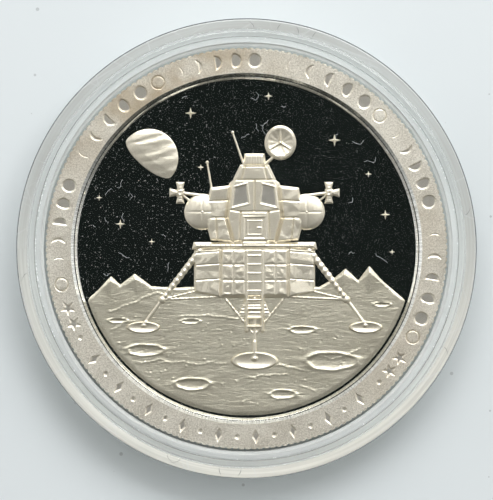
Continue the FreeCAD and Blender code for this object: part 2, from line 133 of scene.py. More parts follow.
lamp = bpy.data.lights.new("window lamp", "AREA")
lamp.shape = "RECTANGLE"
lamp.size, lamp.size_y = 0.46, 0.22
lamp.energy = 1.45
lamp_object = bpy.data.objects.new("window lamp", lamp)
lamp_distance, lamp_elevation = 0.42, math.radians(44)
lamp_object.location = (
    lamp_distance * math.cos(lamp_elevation) * math.cos(lamp_azimuth),
    lamp_distance * math.cos(lamp_elevation) * math.sin(lamp_azimuth),
    lamp_distance * math.sin(lamp_elevation),
)
lamp_object.rotation_euler = (math.pi / 2 - lamp_elevation, 0, lamp_azimuth + math.pi / 2)
scene.collection.objects.link(lamp_object)

# The camera looks straight down, a little above the capsule's middle, as on a copy stand.
camera_height = 0.60
view_height = 49.9 * mm
camera = bpy.data.cameras.new("camera")
camera.sensor_fit = "VERTICAL"
camera.sensor_height = 24.0
camera.lens = camera.sensor_height * (camera_height - 4.0 * mm) / view_height
camera.clip_start, camera.clip_end = 0.01, 20
camera_object = bpy.data.objects.new("camera", camera)
camera_object.location = (0, -0.14 * mm, camera_height)
scene.collection.objects.link(camera_object)
scene.camera = camera_object
scene.view_settings.view_transform = "Standard"


# The table: a sheet of pale card with a very fine tooth.
def material(name):
    """A new material with an empty tree, its Principled shader and that tree."""
    made = bpy.data.materials.new(name)
    made.use_nodes = True
    tree = made.node_tree
    tree.nodes.clear()
    shader = add(tree, "ShaderNodeBsdfPrincipled")
    add(tree, "ShaderNodeOutputMaterial", {"Surface": shader.outputs[0]})
    return made, tree, shader


def own_position(tree):
    return add(tree, "ShaderNodeTexCoord").outputs["Object"]


def noise(tree, scale, detail=3.0, roughness=0.55, place=None, warp=0.0):
    """Smooth random values over the piece, at a scale in patches per metre."""
    return add(
        tree, "ShaderNodeTexNoise",
        {"Vector": place or own_position(tree), "Scale": scale, "Detail": detail,
         "Roughness": roughness, "Distortion": warp},
    ).outputs["Fac"]


def relief_of(tree, height, strength, distance, under=None):
    """The Normal for a fine relief, lying on another one where there is one."""
    inputs = {"Height": height, "Strength": strength, "Distance": distance}
    if under:
        inputs["Normal"] = under
    return add(tree, "ShaderNodeBump", inputs).outputs[0]


def mesh_from(name, corners, faces, finish, smooth=False):
    """An object from corner and face arrays. All faces have the same number of corners."""
    corners = np.asarray(corners, np.float32)
    faces = np.asarray(faces, np.int32)
    mesh = bpy.data.meshes.new(name)
    mesh.vertices.add(len(corners))
    mesh.vertices.foreach_set("co", corners.ravel())
    mesh.loops.add(faces.size)
    mesh.loops.foreach_set("vertex_index", faces.ravel())
    mesh.polygons.add(len(faces))
    mesh.polygons.foreach_set("loop_start", np.arange(len(faces)) * faces.shape[1])
    mesh.update(calc_edges=True)
    mesh.polygons.foreach_set("use_smooth", np.full(len(faces), smooth))
    mesh.materials.append(finish)
    mesh.validate()
    made = bpy.data.objects.new(name, mesh)
    scene.collection.objects.link(made)
    return made


card, tree, shader = material("pale card")
card_colour = mixed(tree, noise(tree, 60, 2), (0.715, 0.765, 0.785, 1), (0.750, 0.800, 0.815, 1))
spots = add(
    tree, "ShaderNodeTexVoronoi", {"Vector": own_position(tree), "Scale": 240.0},
    voronoi_dimensions="2D",
)
spot_size = add(tree, "ShaderNodeSeparateColor", {"Color": spots.outputs["Color"]}).outputs["Red"]
reach = ramp(tree, spot_size, 0.72, 1.0, 0.0, 0.045)
speck = math_node(tree, "LESS_THAN", spots.outputs["Distance"], reach)
feed(tree, shader, {
    "Base Color": mixed(tree, times(tree, speck, 0.45), card_colour, (0.30, 0.31, 0.32, 1)),
    "Roughness": 0.9, "Normal": relief_of(tree, noise(tree, 9000, 2), 0.05, 0.05 * mm),
})
half_table = 0.9
table_z = -0.02 * mm
table = mesh_from(
    "table",
    [(x * half_table, y * half_table, table_z) for x, y in ((-1, -1), (1, -1), (1, 1), (-1, 1))],
    [(0, 1, 2, 3)], card,
)
table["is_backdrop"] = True


# Capsule base: the lower cup, moulded in clear plastic. Its collar holds the medal's edge,
# its shoulder carries the lid, and a thin lip runs round its waist.
medal_radius = 20.0 * mm
medal_thickness = 3.0 * mm
window_thickness = 1.3 * mm
medal_bottom = window_thickness
medal_top = medal_bottom + medal_thickness
seat_radius = medal_radius + 0.2 * mm
collar_radius = seat_radius + 0.9 * mm
collar_lead_in = 0.34 * mm
skirt_radius = collar_radius + 0.06 * mm
body_radius = skirt_radius + 0.74 * mm
capsule_radius = body_radius + 1.1 * mm
lip_thickness = 0.8 * mm
lip_rounding = 0.28 * mm
face_rounding = 0.35 * mm
mould_draft = 0.08 * mm
shoulder_z = medal_top - 1.3 * mm
ceiling_z = medal_top + 0.15 * mm
lid_top = ceiling_z + window_thickness


def rounded(profile, roundings, steps=7):
    """A profile with the numbered corners rounded to the given radii."""
    out = []
    count = len(profile)
    for i, corner in enumerate(profile):
        radius = roundings.get(i, 0)
        if not radius:
            out.append(corner)
            continue
        b = np.array(corner)
        to_a = np.array(profile[i - 1]) - b
        to_c = np.array(profile[(i + 1) % count]) - b
        to_a, to_c = to_a / np.linalg.norm(to_a), to_c / np.linalg.norm(to_c)
        half = math.acos(np.clip(to_a @ to_c, -1, 1)) / 2
        centre = b + (to_a + to_c) / np.linalg.norm(to_a + to_c) * radius / math.sin(half)
        start = b + to_a * radius / math.tan(half) - centre
        end = b + to_c * radius / math.tan(half) - centre
        for k in range(steps + 1):
            share = k / steps
            point = start * (1 - share) + end * share
            out.append(tuple(centre + point / np.linalg.norm(point) * radius))
    return out


def turned(name, profile, finish, segments=384, closed=True, sharp=25):
    """A piece turned about Z from (radius, height) points, each point on the axis one corner."""
    corners, rows = [], []
    for r, z in profile:
        if r == 0:
            rows.append([len(corners)] * segments)
            corners.append((0, 0, z))
        else:
            rows.append(list(range(len(corners), len(corners) + segments)))
            steps = np.arange(segments) * 2 * math.pi / segments
            corners += [(r * math.cos(a), r * math.sin(a), z) for a in steps]
    faces = []
    for k in range(len(rows) if closed else len(rows) - 1):
        lower, upper = rows[k], rows[(k + 1) % len(rows)]
        if profile[k][0] == 0 and profile[(k + 1) % len(rows)][0] == 0:
            continue
        for i in range(segments):
            j = (i + 1) % segments
            ring = [lower[i], lower[j], upper[j], upper[i]]
            faces.append([ring[n] for n in range(4) if ring[n] != ring[n - 1]])
    mesh = bpy.data.meshes.new(name)
    mesh.from_pydata(corners, [], faces)
    mesh.materials.append(finish)
    mesh.polygons.foreach_set("use_smooth", np.full(len(mesh.polygons), True))
    mesh.set_sharp_from_angle(angle=math.radians(sharp))
    made = bpy.data.objects.new(name, mesh)
    scene.collection.objects.link(made)
    return made


def own_axis(tree, axis):
    return add(tree, "ShaderNodeSeparateXYZ", {"Vector": own_position(tree)}).outputs[axis]


def round_z(tree, per_metre, per_turn):
    """A place counted outwards from the Z axis and round it, for patterns that a lathe leaves."""
    turn = math_node(tree, "ARCTAN2", own_axis(tree, "Y"), own_axis(tree, "X"))
    turn = math_node(tree, "ADD", math_node(tree, "DIVIDE", turn, 2 * math.pi), 0.5)
    flat = {0: own_position(tree), 1: (1, 1, 0)}
    flat = add(tree, "ShaderNodeVectorMath", flat, operation="MULTIPLY").outputs[0]
    out = add(tree, "ShaderNodeVectorMath", {0: flat}, operation="LENGTH").outputs["Value"]
    return times(tree, out, per_metre), times(tree, turn, per_turn)


def group_tree(name, inputs, outputs):
    """An empty shader group: its tree, the outputs of its input node, and its output node."""
    tree = bpy.data.node_groups.new(name, "ShaderNodeTree")
    for label, default in inputs.items():
        socket = tree.interface.new_socket(label, in_out="INPUT", socket_type="NodeSocketFloat")
        socket.default_value = default
    for label in outputs:
        tree.interface.new_socket(label, in_out="OUTPUT", socket_type="NodeSocketFloat")
    return tree, add(tree, "NodeGroupInput").outputs, add(tree, "NodeGroupOutput")


def handling_marks():
    """Fine random hairlines and small nicks, from years of handling."""
    tree, given, out = group_tree("handling marks", {"Hairlines": 9000.0, "Amount": 0.5}, ["Mask"])
    total = 0.0
    for turn, offset in ((0.4, 0.0), (1.3, 3.1), (2.6, 7.7)):
        place = own_position(tree)
        stretch = {"Location": (offset, 0, 0), "Scale": (0.02, 1, 0.02)}
        for change in ({"Rotation": (0, 0, turn)}, stretch):
            place = add(tree, "ShaderNodeMapping", {"Vector": place, **change}).outputs[0]
        lines = noise(tree, given["Hairlines"], 0.0, place=place)
        total = math_node(tree, "MAXIMUM", total, ramp(tree, lines, 0.74, 0.80))
    feed(tree, out, {"Mask": times(tree, total, given["Amount"], clamp=True)})
    return tree


handling = handling_marks()


def use_group(tree, group, inputs):
    return add(tree, "ShaderNodeGroup", inputs, node_tree=group).outputs


def painted_low_side_light():
    """Painted light: how far the plastic is painted lighter and creamier, most towards the bottom of the
    picture (-Y), with a little random patchiness.
    """
    tree, given, out = group_tree("painted low side light", {"Amount": 1.0}, ["Mask"])
    low = ramp(tree, own_axis(tree, "Y"), 9 * mm, -16 * mm)
    patch = ramp(tree, noise(tree, 130, 2), 0.3, 0.65, 0.75, 1.0)
    feed(tree, out, {"Mask": times(tree, times(tree, low, patch), given["Amount"])})
    return tree


low_side_light = painted_low_side_light()


def moulding_lines():
    """Faint concentric lines, from the turned steel mould."""
    tree, given, out = group_tree("moulding lines", {"Lines Per Metre": 4000.0}, ["Mask"])
    x, y = round_z(tree, given["Lines Per Metre"], 9.0)
    place = add(tree, "ShaderNodeCombineXYZ", {"X": x, "Y": y}).outputs[0]
    feed(tree, out, {"Mask": ramp(tree, noise(tree, 1.0, 2.0, 0.5, place), 0.36, 0.64)})
    return tree


moulding = moulding_lines()


def clear_plastic(name, tint, lit_low_tint, clearness, light_through, marks, lines=0.0):
    """Clear moulded plastic that lets the light through to what it holds."""
    made, tree, shader = material(name)
    worn = use_group(tree, handling, {"Hairlines": 6000.0, "Amount": marks})["Mask"]
    lit_low_share = use_group(tree, low_side_light, {"Amount": 1.0})["Mask"]
    # Painted light: the colour runs to the lighter second tint towards the bottom of the picture.
    colour = mixed(tree, lit_low_share, (*tint, 1), (*lit_low_tint, 1))
    if lines:
        turned_lines = use_group(tree, moulding, {"Lines Per Metre": 4500.0})["Mask"]
        dark = [0.55 * value for value in lit_low_tint]
        colour = mixed(tree, times(tree, turned_lines, lines), colour, (*dark, 1))
    feed(tree, shader, {
        "Transmission Weight": clearness, "IOR": 1.53, "Metallic": 0.0,
        "Base Color": mixed(tree, worn, colour, (0.90, 0.92, 0.94, 1)),
        "Roughness": ramp(tree, worn, 0, 1, 0.01, 0.12),
        "Normal": relief_of(tree, noise(tree, 160, 1), 0.03, 0.05 * mm),
    })
    through = add(tree, "ShaderNodeBsdfTransparent", {"Color": (*light_through, 1)}).outputs[0]
    path = add(tree, "ShaderNodeLightPath").outputs
    lost = math_node(tree, "GREATER_THAN", path["Ray Depth"], 6.5)
    straight = math_node(tree, "MAXIMUM", path["Is Shadow Ray"], lost)
    pick = add(tree, "ShaderNodeMixShader", {0: straight, 1: shader.outputs[0], 2: through})
    surface = next(node for node in tree.nodes if node.type == "OUTPUT_MATERIAL")
    feed(tree, surface, {"Surface": pick.outputs[0]})
    return made


# Each plastic's first colour holds at the top of the picture and its second towards the bottom: painted shade
# above and painted light below, strongest in the lip. The window's two colours are the same.
window_plastic = clear_plastic(
    "clear plastic window", (0.985, 0.99, 0.985), (0.985, 0.99, 0.985), 1.0,
    (0.975, 0.98, 0.975), 0.2,
)
wall_plastic = clear_plastic(
    "clear plastic wall", (0.86, 0.885, 0.885), (0.95, 0.97, 0.97), 0.5,
    (0.94, 0.945, 0.945), 0.3, 0.22,
)
lip_plastic = clear_plastic(
    "clear plastic lip", (0.70, 0.725, 0.715), (0.995, 0.98, 0.92), 0.45,
    (0.52, 0.53, 0.52), 0.4, 0.35,
)
# Painted shade: the lips' outer edges are painted nearly black, a dark line standing in for shade round the
# capsule's outline, a little lighter towards the bottom.
dark_edge_paint = clear_plastic(
    "lip edge painted dark", (0.11, 0.125, 0.14), (0.27, 0.32, 0.36), 0.5, (0.5, 0.5, 0.5), 0.2
)
base_lip_low = shoulder_z - lip_thickness
base_foot = body_radius - mould_draft
base_profile = rounded(
    [
        (0, 0), (base_foot, 0), (body_radius, base_lip_low), (capsule_radius, base_lip_low),
        (capsule_radius, shoulder_z), (collar_radius, shoulder_z), (collar_radius, medal_top),
        (seat_radius + collar_lead_in, medal_top), (seat_radius, medal_top - collar_lead_in),
        (seat_radius, window_thickness), (0, window_thickness),
    ],
    {1: face_rounding, 2: 0.06 * mm, 3: lip_rounding, 4: lip_rounding, 6: 0.06 * mm, 9: 0.05 * mm},
)
base = turned("capsule_base_cup", base_profile, window_plastic)
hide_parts("capsule_base")
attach(base, "base")


# Capsule lid: the upper cup, of the same plastic. Its skirt slides over the collar and its
# own thin lip leaves a slit above the base's lip, where a fingernail opens it.
lid_lip_low = shoulder_z + 0.25 * mm
lid_lip_high = lid_lip_low + lip_thickness
crown_radius = body_radius - mould_draft
skirt_foot = shoulder_z + 0.02 * mm
lid_profile = rounded(
    [
        (0, ceiling_z), (skirt_radius, ceiling_z), (skirt_radius, skirt_foot),
        (body_radius, skirt_foot), (body_radius, lid_lip_low), (capsule_radius, lid_lip_low),
        (capsule_radius, lid_lip_high), (body_radius, lid_lip_high), (crown_radius, lid_top),
        (0, lid_top),
    ],
    {1: 0.06 * mm, 2: 0.05 * mm, 3: 0.08 * mm, 5: lip_rounding, 6: lip_rounding, 7: 0.08 * mm,
     8: face_rounding},
)
lid = turned("capsule_lid_cup", lid_profile[::-1], window_plastic)
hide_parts("capsule_lid")
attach(lid, "lid")

# Both cups: walls and lips are a little clouded and painted lighter towards the bottom, the lips' outer edges
# are painted dark as a painted shade line round the outline, and the flat windows and the roundings stay clear.
in_wall, in_lip, on_edge = 1, 2, 3
rounding_step = 0.1 * mm
for cup in (base, lid):
    for finish in (wall_plastic, lip_plastic, dark_edge_paint):
        cup.data.materials.append(finish)
    work = bmesh.new()
    work.from_mesh(cup.data)
    bmesh.ops.recalc_face_normals(work, faces=work.faces)
    for part in work.faces:
        spots = [(math.hypot(corner.co.x, corner.co.y), corner.co.z) for corner in part.verts]
        outer, inner = max(spots)[0], min(spots)[0]
        lowest, highest = min(z for r, z in spots), max(z for r, z in spots)
        across = math.hypot(outer - inner, highest - lowest)
        if outer > capsule_radius - 0.07 * mm and across < rounding_step:
            part.material_index = on_edge
        elif outer > body_radius + 0.1 * mm:
            part.material_index = in_lip
        elif outer > seat_radius + 0.05 * mm and across > rounding_step and len(spots) == 4:
            if lowest < ceiling_z + 0.1 * mm:
                part.material_index = in_wall
    work.to_mesh(cup.data)
    work.free()


# The medal's edge: fine silver, squeezed out into reeds by the collar of the press. The flat
# margins next to it, front and back, belong to the same piece of metal.
field_radius = 16.88 * mm
rim_inner_radius = medal_radius - 2.5 * mm
margin_radius = 19.58 * mm
edge_break = 0.10 * mm
reeds = 200
reed_depth = 0.13 * mm
reed_profile = (
    (0.0, 0.0), (0.45, 0.0), (0.53, -0.35), (0.66, -0.88), (0.79, -0.88), (0.92, -0.35), (1.0, 0.0),
)


def struck_grain():
    """The fine frost that a blasted die leaves, and the slow drift of its tone."""
    sizes = {"Grain Size": 12000.0, "Drift Size": 260.0}
    tree, given, out = group_tree("struck grain", sizes, ["Grain", "Drift"])
    fine = noise(tree, given["Grain Size"], 2.0, 0.7)
    slow = noise(tree, given["Drift Size"], 4.0, 0.6)
    feed(tree, out, {"Grain": fine, "Drift": slow})
    return tree


def silver_toning():
    """Where old silver has browned: patches near the top of the rim, and faint ones elsewhere."""
    tree, given, out = group_tree("silver toning", {"Amount": 1.0}, ["Mask"])
    high = ramp(tree, own_axis(tree, "Y"), 4 * mm, 19 * mm)
    left = ramp(tree, own_axis(tree, "X"), 9 * mm, -6 * mm)
    patch = ramp(tree, noise(tree, 190, 3, 0.6), 0.35, 0.72)
    near_top = times(tree, times(tree, high, left), patch)
    faint = times(tree, ramp(tree, noise(tree, 95, 2), 0.5, 0.8), 0.25)
    both = math_node(tree, "MAXIMUM", near_top, faint)
    feed(tree, out, {"Mask": times(tree, both, given["Amount"], clamp=True)})
    return tree


grain = struck_grain()
toning = silver_toning()


def frosted_silver(name, light, shade, rough, frost, toned, marks=0.0, grain_size=12000.0):
    """Silver with a blasted or satin skin: tone, grain, toning and hairlines."""
    made, tree, shader = material(name)
    skin = use_group(tree, grain, {"Grain Size": grain_size, "Drift Size": 260.0})
    fine = skin["Grain"]
    tone = math_node(tree, "ADD", times(tree, skin["Drift"], 0.3), times(tree, fine, 0.7))
    colour = mixed(tree, ramp(tree, tone, 0.32, 0.66), (*shade, 1), (*light, 1))
    roughness = ramp(tree, fine, 0.25, 0.75, rough - 0.07, rough + 0.07)
    if marks:
        worn = use_group(tree, handling, {"Hairlines": 9000.0, "Amount": marks})["Mask"]
        roughness = math_node(tree, "SUBTRACT", roughness, times(tree, worn, 0.06))
    brown = use_group(tree, toning, {"Amount": toned})["Mask"]
    feed(tree, shader, {
        "Base Color": mixed(tree, brown, colour, (0.50, 0.385, 0.24, 1)), "Metallic": 1.0,
        "Roughness": roughness, "Normal": relief_of(tree, fine, frost, 0.02 * mm),
    })
    return made


satin = frosted_silver(
    "satin silver", (0.99, 0.945, 0.85), (0.60, 0.55, 0.465), 0.42, 0.9, 1.0, 0.5, 7000.0
)

pitch = 2 * math.pi / reeds
columns, reed_corners = [], []
for share, sink in reed_profile:
    top = (medal_radius - edge_break + sink * reed_depth, medal_radius + sink * reed_depth)
    column = (
        (margin_radius, medal_bottom), (top[0], medal_bottom), (top[1], medal_bottom + edge_break),
        (top[1], medal_top - edge_break), (top[0], medal_top), (margin_radius, medal_top),
    )
    columns.append(range(len(reed_corners), len(reed_corners) + len(column)))
    turn = share * pitch
    reed_corners += [(r * math.cos(turn), r * math.sin(turn), z) for r, z in column]
reed_faces = [
    (left[k], right[k], right[k + 1], left[k + 1])
    for left, right in zip(columns, columns[1:]) for k in range(len(left) - 1)
]
one_reed = mesh_from("one_reed", reed_corners, reed_faces, satin)


def geometry_tree(name, inputs):
    """An empty Geometry Nodes tree, and the outputs of its input node."""
    tree = bpy.data.node_groups.new(name, "GeometryNodeTree")
    for label, kind in inputs.items():
        tree.interface.new_socket(label, in_out="INPUT", socket_type="NodeSocket" + kind)
    tree.interface.new_socket("Mesh", in_out="OUTPUT", socket_type="NodeSocketGeometry")
    return tree, add(tree, "NodeGroupInput").outputs


def end_tree(tree, copies, finish, join_distance):
    """Makes the copies real, joins them where they touch, gives them their material, and ends."""
    real = add(tree, "GeometryNodeRealizeInstances", {"Geometry": copies}).outputs[0]
    if join_distance:
        inputs = {"Geometry": real, "Distance": join_distance}
        real = add(tree, "GeometryNodeMergeByDistance", inputs).outputs[0]
    done = add(tree, "GeometryNodeSetMaterial", {"Geometry": real, "Material": finish}).outputs[0]
    add(tree, "NodeGroupOutput", {"Mesh": done})


ring, given = geometry_tree(
    "ring of reeds",
    {"Reed": "Geometry", "Reeds": "Int", "Join Distance": "Float", "Finish": "Material"},
)
places = add(ring, "GeometryNodePoints", {"Count": given["Reeds"]}).outputs[0]
step = math_node(ring, "DIVIDE", 2 * math.pi, given["Reeds"])
turn = times(ring, add(ring, "GeometryNodeInputIndex").outputs[0], step)
spin = add(ring, "ShaderNodeCombineXYZ", {"Z": turn}).outputs[0]
facing = add(ring, "FunctionNodeEulerToRotation", {"Euler": spin}).outputs[0]
copies = add(
    ring, "GeometryNodeInstanceOnPoints",
    {"Points": places, "Instance": given["Reed"], "Rotation": facing},
).outputs[0]
end_tree(ring, copies, given["Finish"], given["Join Distance"])


def grown(seed_object, tree, name, inputs, smooth_angle):
    """The plain mesh that a Geometry Nodes tree makes from an object, which it then replaces."""
    modifier = seed_object.modifiers.new("make", "NODES")
    modifier.node_group = tree
    for item in tree.interface.items_tree:
        if item.in_out == "INPUT" and item.name in inputs:
            modifier[item.identifier] = inputs[item.name]
    bpy.context.view_layer.update()
    seen = seed_object.evaluated_get(bpy.context.evaluated_depsgraph_get())
    mesh = bpy.data.meshes.new_from_object(seen)
    seed_object.modifiers.remove(modifier)
    bpy.data.objects.remove(seed_object)
    mesh.name = name
    mesh.polygons.foreach_set("use_smooth", np.full(len(mesh.polygons), True))
    mesh.set_sharp_from_angle(angle=math.radians(smooth_angle))
    made = bpy.data.objects.new(name, mesh)
    scene.collection.objects.link(made)
    return made


edge = grown(
    one_reed, ring, "medal_edge",
    {"Reeds": reeds, "Join Distance": 0.002 * mm, "Finish": satin}, 35,
)


def medal_piece(piece):
    """A part of the medal: it stands for the medal's solid and lies in the base."""
    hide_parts("medal")
    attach(piece, "base")


medal_piece(edge)


# The rim: a flat satin land, struck last with a ring of sunk ornaments. Moon phases run over
# the top, with lozenges and dots along the bottom and stars between.
ornament_radius = 18.75 * mm
ornament_depth = 0.12 * mm
ornament_wall = 0.07 * mm
moon_radius = 0.72 * mm
moon_line = 0.16 * mm
moons, moons_in_cycle = 37, 12
moon_angles = np.linspace(191.0, -28.0, moons)
star_radius = 0.78 * mm
star_angles = (198.6, 203.6, 319.4, 324.4)
dot_radius = 0.24 * mm
dot_angles = (208.2, 314.8)
lozenge_length, lozenge_width = 1.5 * mm, 0.72 * mm
lozenge_angles = np.linspace(216.0, 307.0, 17)


def from_line(x, y, start, end):
    """How far along a line each point lies, 0 to 1, and its distance from the line."""
    (ax, ay), (bx, by) = start, end
    ex, ey = bx - ax, by - ay
    share = np.clip(((x - ax) * ex + (y - ay) * ey) / (ex * ex + ey * ey), 0, 1)
    return share, np.hypot(x - ax - ex * share, y - ay - ey * share)


def outline_distance(x, y, outline):
    """Distance from each point to an outline, negative inside it."""
    nearest = np.full(np.shape(x), np.inf)
    inside = np.zeros(np.shape(x), bool)
    for start, end in zip(outline, [*outline[1:], outline[0]]):
        nearest = np.minimum(nearest, from_line(x, y, start, end)[1])
        (ax, ay), (bx, by) = start, end
        if ay != by:
            inside ^= ((ay <= y) != (by <= y)) & (x < ax + (y - ay) * (bx - ax) / (by - ay))
    return np.where(inside, -nearest, nearest)


def eased(share):
    """Rises in step with a share, and levels off softly at one."""
    blend = 0.4
    part = np.clip(0.5 + 0.5 * (1 - share) / blend, 0, 1)
    return 1 - part + share * part - blend * part * (1 - part)


def star_points(reach, points, waist_share, x=0.0, y=0.0):
    steps = [math.pi / 2 + math.pi * i / points for i in range(2 * points)]
    reaches = [reach if i % 2 == 0 else reach * waist_share for i in range(2 * points)]
    return [(x + r * math.cos(a), y + r * math.sin(a)) for r, a in zip(reaches, steps)]


def moon(x, y, share):
    """Distance to the lit part of a moon; share is how far its cycle has come."""
    disc = np.hypot(x, y) - moon_radius
    side = 1 if share < 0.5 else -1
    bulge = -side * math.cos(2 * math.pi * share)
    half = np.sqrt(np.clip(moon_radius ** 2 - y ** 2, 0, None))
    slope = np.sqrt(1 + (bulge * y / np.maximum(half, 0.2 * moon_radius)) ** 2)
    return np.maximum(disc, -(side * x + side * bulge * half * side) / slope)


def new_moon(x, y):
    """A new moon is only a line round its edge."""
    return np.abs(np.hypot(x, y) - moon_radius + moon_line / 2) - moon_line / 2


def dot(x, y):
    return np.hypot(x, y) - dot_radius


def lozenge(x, y):
    length, width = lozenge_length / 2, lozenge_width / 2
    return outline_distance(x, y, [(0, length), (width, 0), (0, -length), (-width, 0)])


def star(x, y):
    return outline_distance(x, y, star_points(star_radius, 5, 0.42))


ornaments = []
for i, angle in enumerate(moon_angles):
    phase = i % moons_in_cycle / moons_in_cycle
    lit_moon = (lambda x, y, phase=phase: moon(x, y, phase)) if phase else new_moon
    ornaments.append((angle, lit_moon))
ornaments += [(angle, star) for angle in star_angles]
ornaments += [(angle, dot) for angle in dot_angles]
ornaments += [(angle, dot if i % 2 else lozenge) for i, angle in enumerate(lozenge_angles)]

rim_columns = 2400
rim_radii = np.concatenate(
    [[rim_inner_radius, 17.85 * mm], np.arange(17.95 * mm, 19.54 * mm, 0.05 * mm), [margin_radius]]
)
turns = np.arange(rim_columns) * 2 * math.pi / rim_columns
sink = np.zeros((len(rim_radii), rim_columns))
for angle, shape in ornaments:
    middle = math.radians(angle)
    away = (turns - middle + math.pi) % (2 * math.pi) - math.pi
    near = np.abs(away) < 1.3 * mm / ornament_radius
    across = -rim_radii[:, None] * np.sin(away[near])[None, :]
    outward = rim_radii[:, None] * np.cos(away[near])[None, :] - ornament_radius
    depth = ornament_depth * np.clip(eased(-shape(across, outward) / ornament_wall), 0, 1)
    sink[:, near] = np.maximum(sink[:, near], depth)


def mottled(name, tones, scale, detail=2, roughness=(0.5, 0.5), metallic=0.0):
    """A finish that wanders between two tones, and between two roughnesses twice as finely."""
    made, tree, shader = material(name)
    (dark, light), (rough, most) = tones, roughness
    if most > rough:
        rough = ramp(tree, noise(tree, 2 * scale, 2), 0.3, 0.7, rough, most)
    colour = mixed(tree, noise(tree, scale, detail), (*dark, 1), (*light, 1))
    feed(tree, shader, {"Base Color": colour, "Roughness": rough, "Metallic": metallic})
    return made


polished = mottled(
    "polished recess", ((0.78, 0.74, 0.66), (0.84, 0.80, 0.73)), 2600, 3, (0.30, 0.34), 1.0
)


def ring_grid(name, radii, heights, finish, smooth=True):
    """A ring of quads from radii and a table of heights, one column for each step round."""
    columns = heights.shape[1]
    steps = np.arange(columns) * 2 * math.pi / columns
    x = np.asarray(radii)[:, None] * np.cos(steps)
    y = np.asarray(radii)[:, None] * np.sin(steps)
    corners = np.stack([x, y, heights], -1).reshape(-1, 3)
    row, column = np.mgrid[0:len(radii) - 1, 0:columns]
    after = (column + 1) % columns
    faces = np.stack(
        [row * columns + column, (row + 1) * columns + column,
         (row + 1) * columns + after, row * columns + after], -1
    ).reshape(-1, 4)
    return mesh_from(name, corners, faces, finish, smooth)


rim = ring_grid("medal_rim", rim_radii, medal_top - sink, satin)
rim.data.materials.append(polished)
at_floor = sink > 0.93 * ornament_depth
at_floor &= np.roll(at_floor, -1, 1)
floor_faces = at_floor[:-1] & at_floor[1:]
rim.data.polygons.foreach_set("material_index", floor_faces.astype(np.int32).ravel())
rim.data.set_sharp_from_angle(angle=math.radians(50))
medal_piece(rim)


# The bevel: two polished steps turned into the die, between the rim and the mirror field.
# Fine lines run down them where the metal flowed.
bevel_width = rim_inner_radius - field_radius
recess = 0.55 * mm
step_radius = rim_inner_radius - bevel_width * 0.45
step_z, field_z = medal_top - recess * 0.40, medal_top - recess
bevel_silver, tree, shader = material("polished bevel")
y, x = round_z(tree, 300.0, 700.0)
place = add(tree, "ShaderNodeCombineXYZ", {"X": x, "Y": y}).outputs[0]
flow_lines = noise(tree, 1.0, 3.0, 0.5, place)
line_tone = ramp(tree, flow_lines, 0.35, 0.65)
feed(tree, shader, {
    "Base Color": mixed(tree, line_tone, (0.68, 0.685, 0.67, 1), (0.87, 0.875, 0.86, 1)),
    "Metallic": 1.0, "Roughness": ramp(tree, flow_lines, 0.3, 0.7, 0.03, 0.09),
    "Normal": relief_of(tree, flow_lines, 0.2, 0.02 * mm),
})
bevel = turned(
    "medal_bevel",
    rounded(
        [
            (rim_inner_radius + 0.03 * mm, medal_top - 0.03 * mm), (rim_inner_radius, medal_top),
            (step_radius, step_z), (step_radius - bevel_width * 0.16, step_z),
            (field_radius, field_z), (field_radius - 0.03 * mm, field_z - 0.03 * mm),
        ],
        {2: 0.03 * mm, 3: 0.03 * mm}, 3,
    )[1:-1],
    bevel_silver, 720, closed=False, sharp=10,
)
medal_piece(bevel)


# The mirror field: the flat of the die was polished to a mirror, and so is the silver that
# it struck. Years of opening the capsule have left fine white dust on it.
def dust_specks():
    """Tiny specks of dust: coarse ones thinly spread and fine ones closer together."""
    tree, given, out = group_tree("dust specks", {"Coarse": 0.5, "Fine": 0.5}, ["Mask", "Tone"])
    masks = []
    kinds = (5600.0, 0.30, 0.42, "Fine"), (1900.0, 0.085, 0.80, "Coarse")
    for scale, reach, cut, amount in kinds:
        inputs = {"Vector": own_position(tree), "Scale": scale}
        cells = add(tree, "ShaderNodeTexVoronoi", inputs).outputs
        own = add(tree, "ShaderNodeSeparateColor", {"Color": cells["Color"]}).outputs
        picked = math_node(tree, "GREATER_THAN", own["Red"], cut)
        speck = math_node(tree, "LESS_THAN", cells["Distance"], times(tree, own["Green"], reach))
        masks.append(times(tree, times(tree, picked, speck), given[amount]))
    feed(tree, out, {"Mask": math_node(tree, "MAXIMUM", *masks, clamp=True), "Tone": own["Blue"]})
    return tree


dust = dust_specks()


def mirror_silver(name, coarse, fine):
    """Polished silver with dust lying on it."""
    made, tree, shader = material(name)
    specks = use_group(tree, dust, {"Coarse": coarse, "Fine": fine})
    more_left = ramp(tree, own_axis(tree, "X"), 10 * mm, -9 * mm, 0.45, 1.0)
    mask = times(tree, specks["Mask"], more_left)
    dusty = mixed(tree, specks["Tone"], (0.42, 0.45, 0.47, 1), (0.72, 0.75, 0.77, 1))
    lines = use_group(tree, handling, {"Hairlines": 12000.0, "Amount": 0.5})["Mask"]
    worn = ramp(tree, lines, 0, 1, 0.03, 0.045)
    feed(tree, shader, {
        "Base Color": mixed(tree, mask, (0.93, 0.925, 0.90, 1), dusty),
        "Metallic": math_node(tree, "SUBTRACT", 1.0, mask),
        "Roughness": math_node(tree, "ADD", worn, ramp(tree, mask, 0, 1, 0, 0.6)),
    })
    return made


mirror = mirror_silver("mirror silver", 0.42, 0.30)
field = turned(
    "medal_field", [(field_radius, field_z), (0, field_z)], mirror, 360, closed=False
)
medal_piece(field)


# The relief: the frosted picture that stands above the mirror. Its ground, its sky and the
# lander are parts of the same silver, raised by one blow of the die.
relief_sink = 0.05 * mm
relief_draft = 0.45


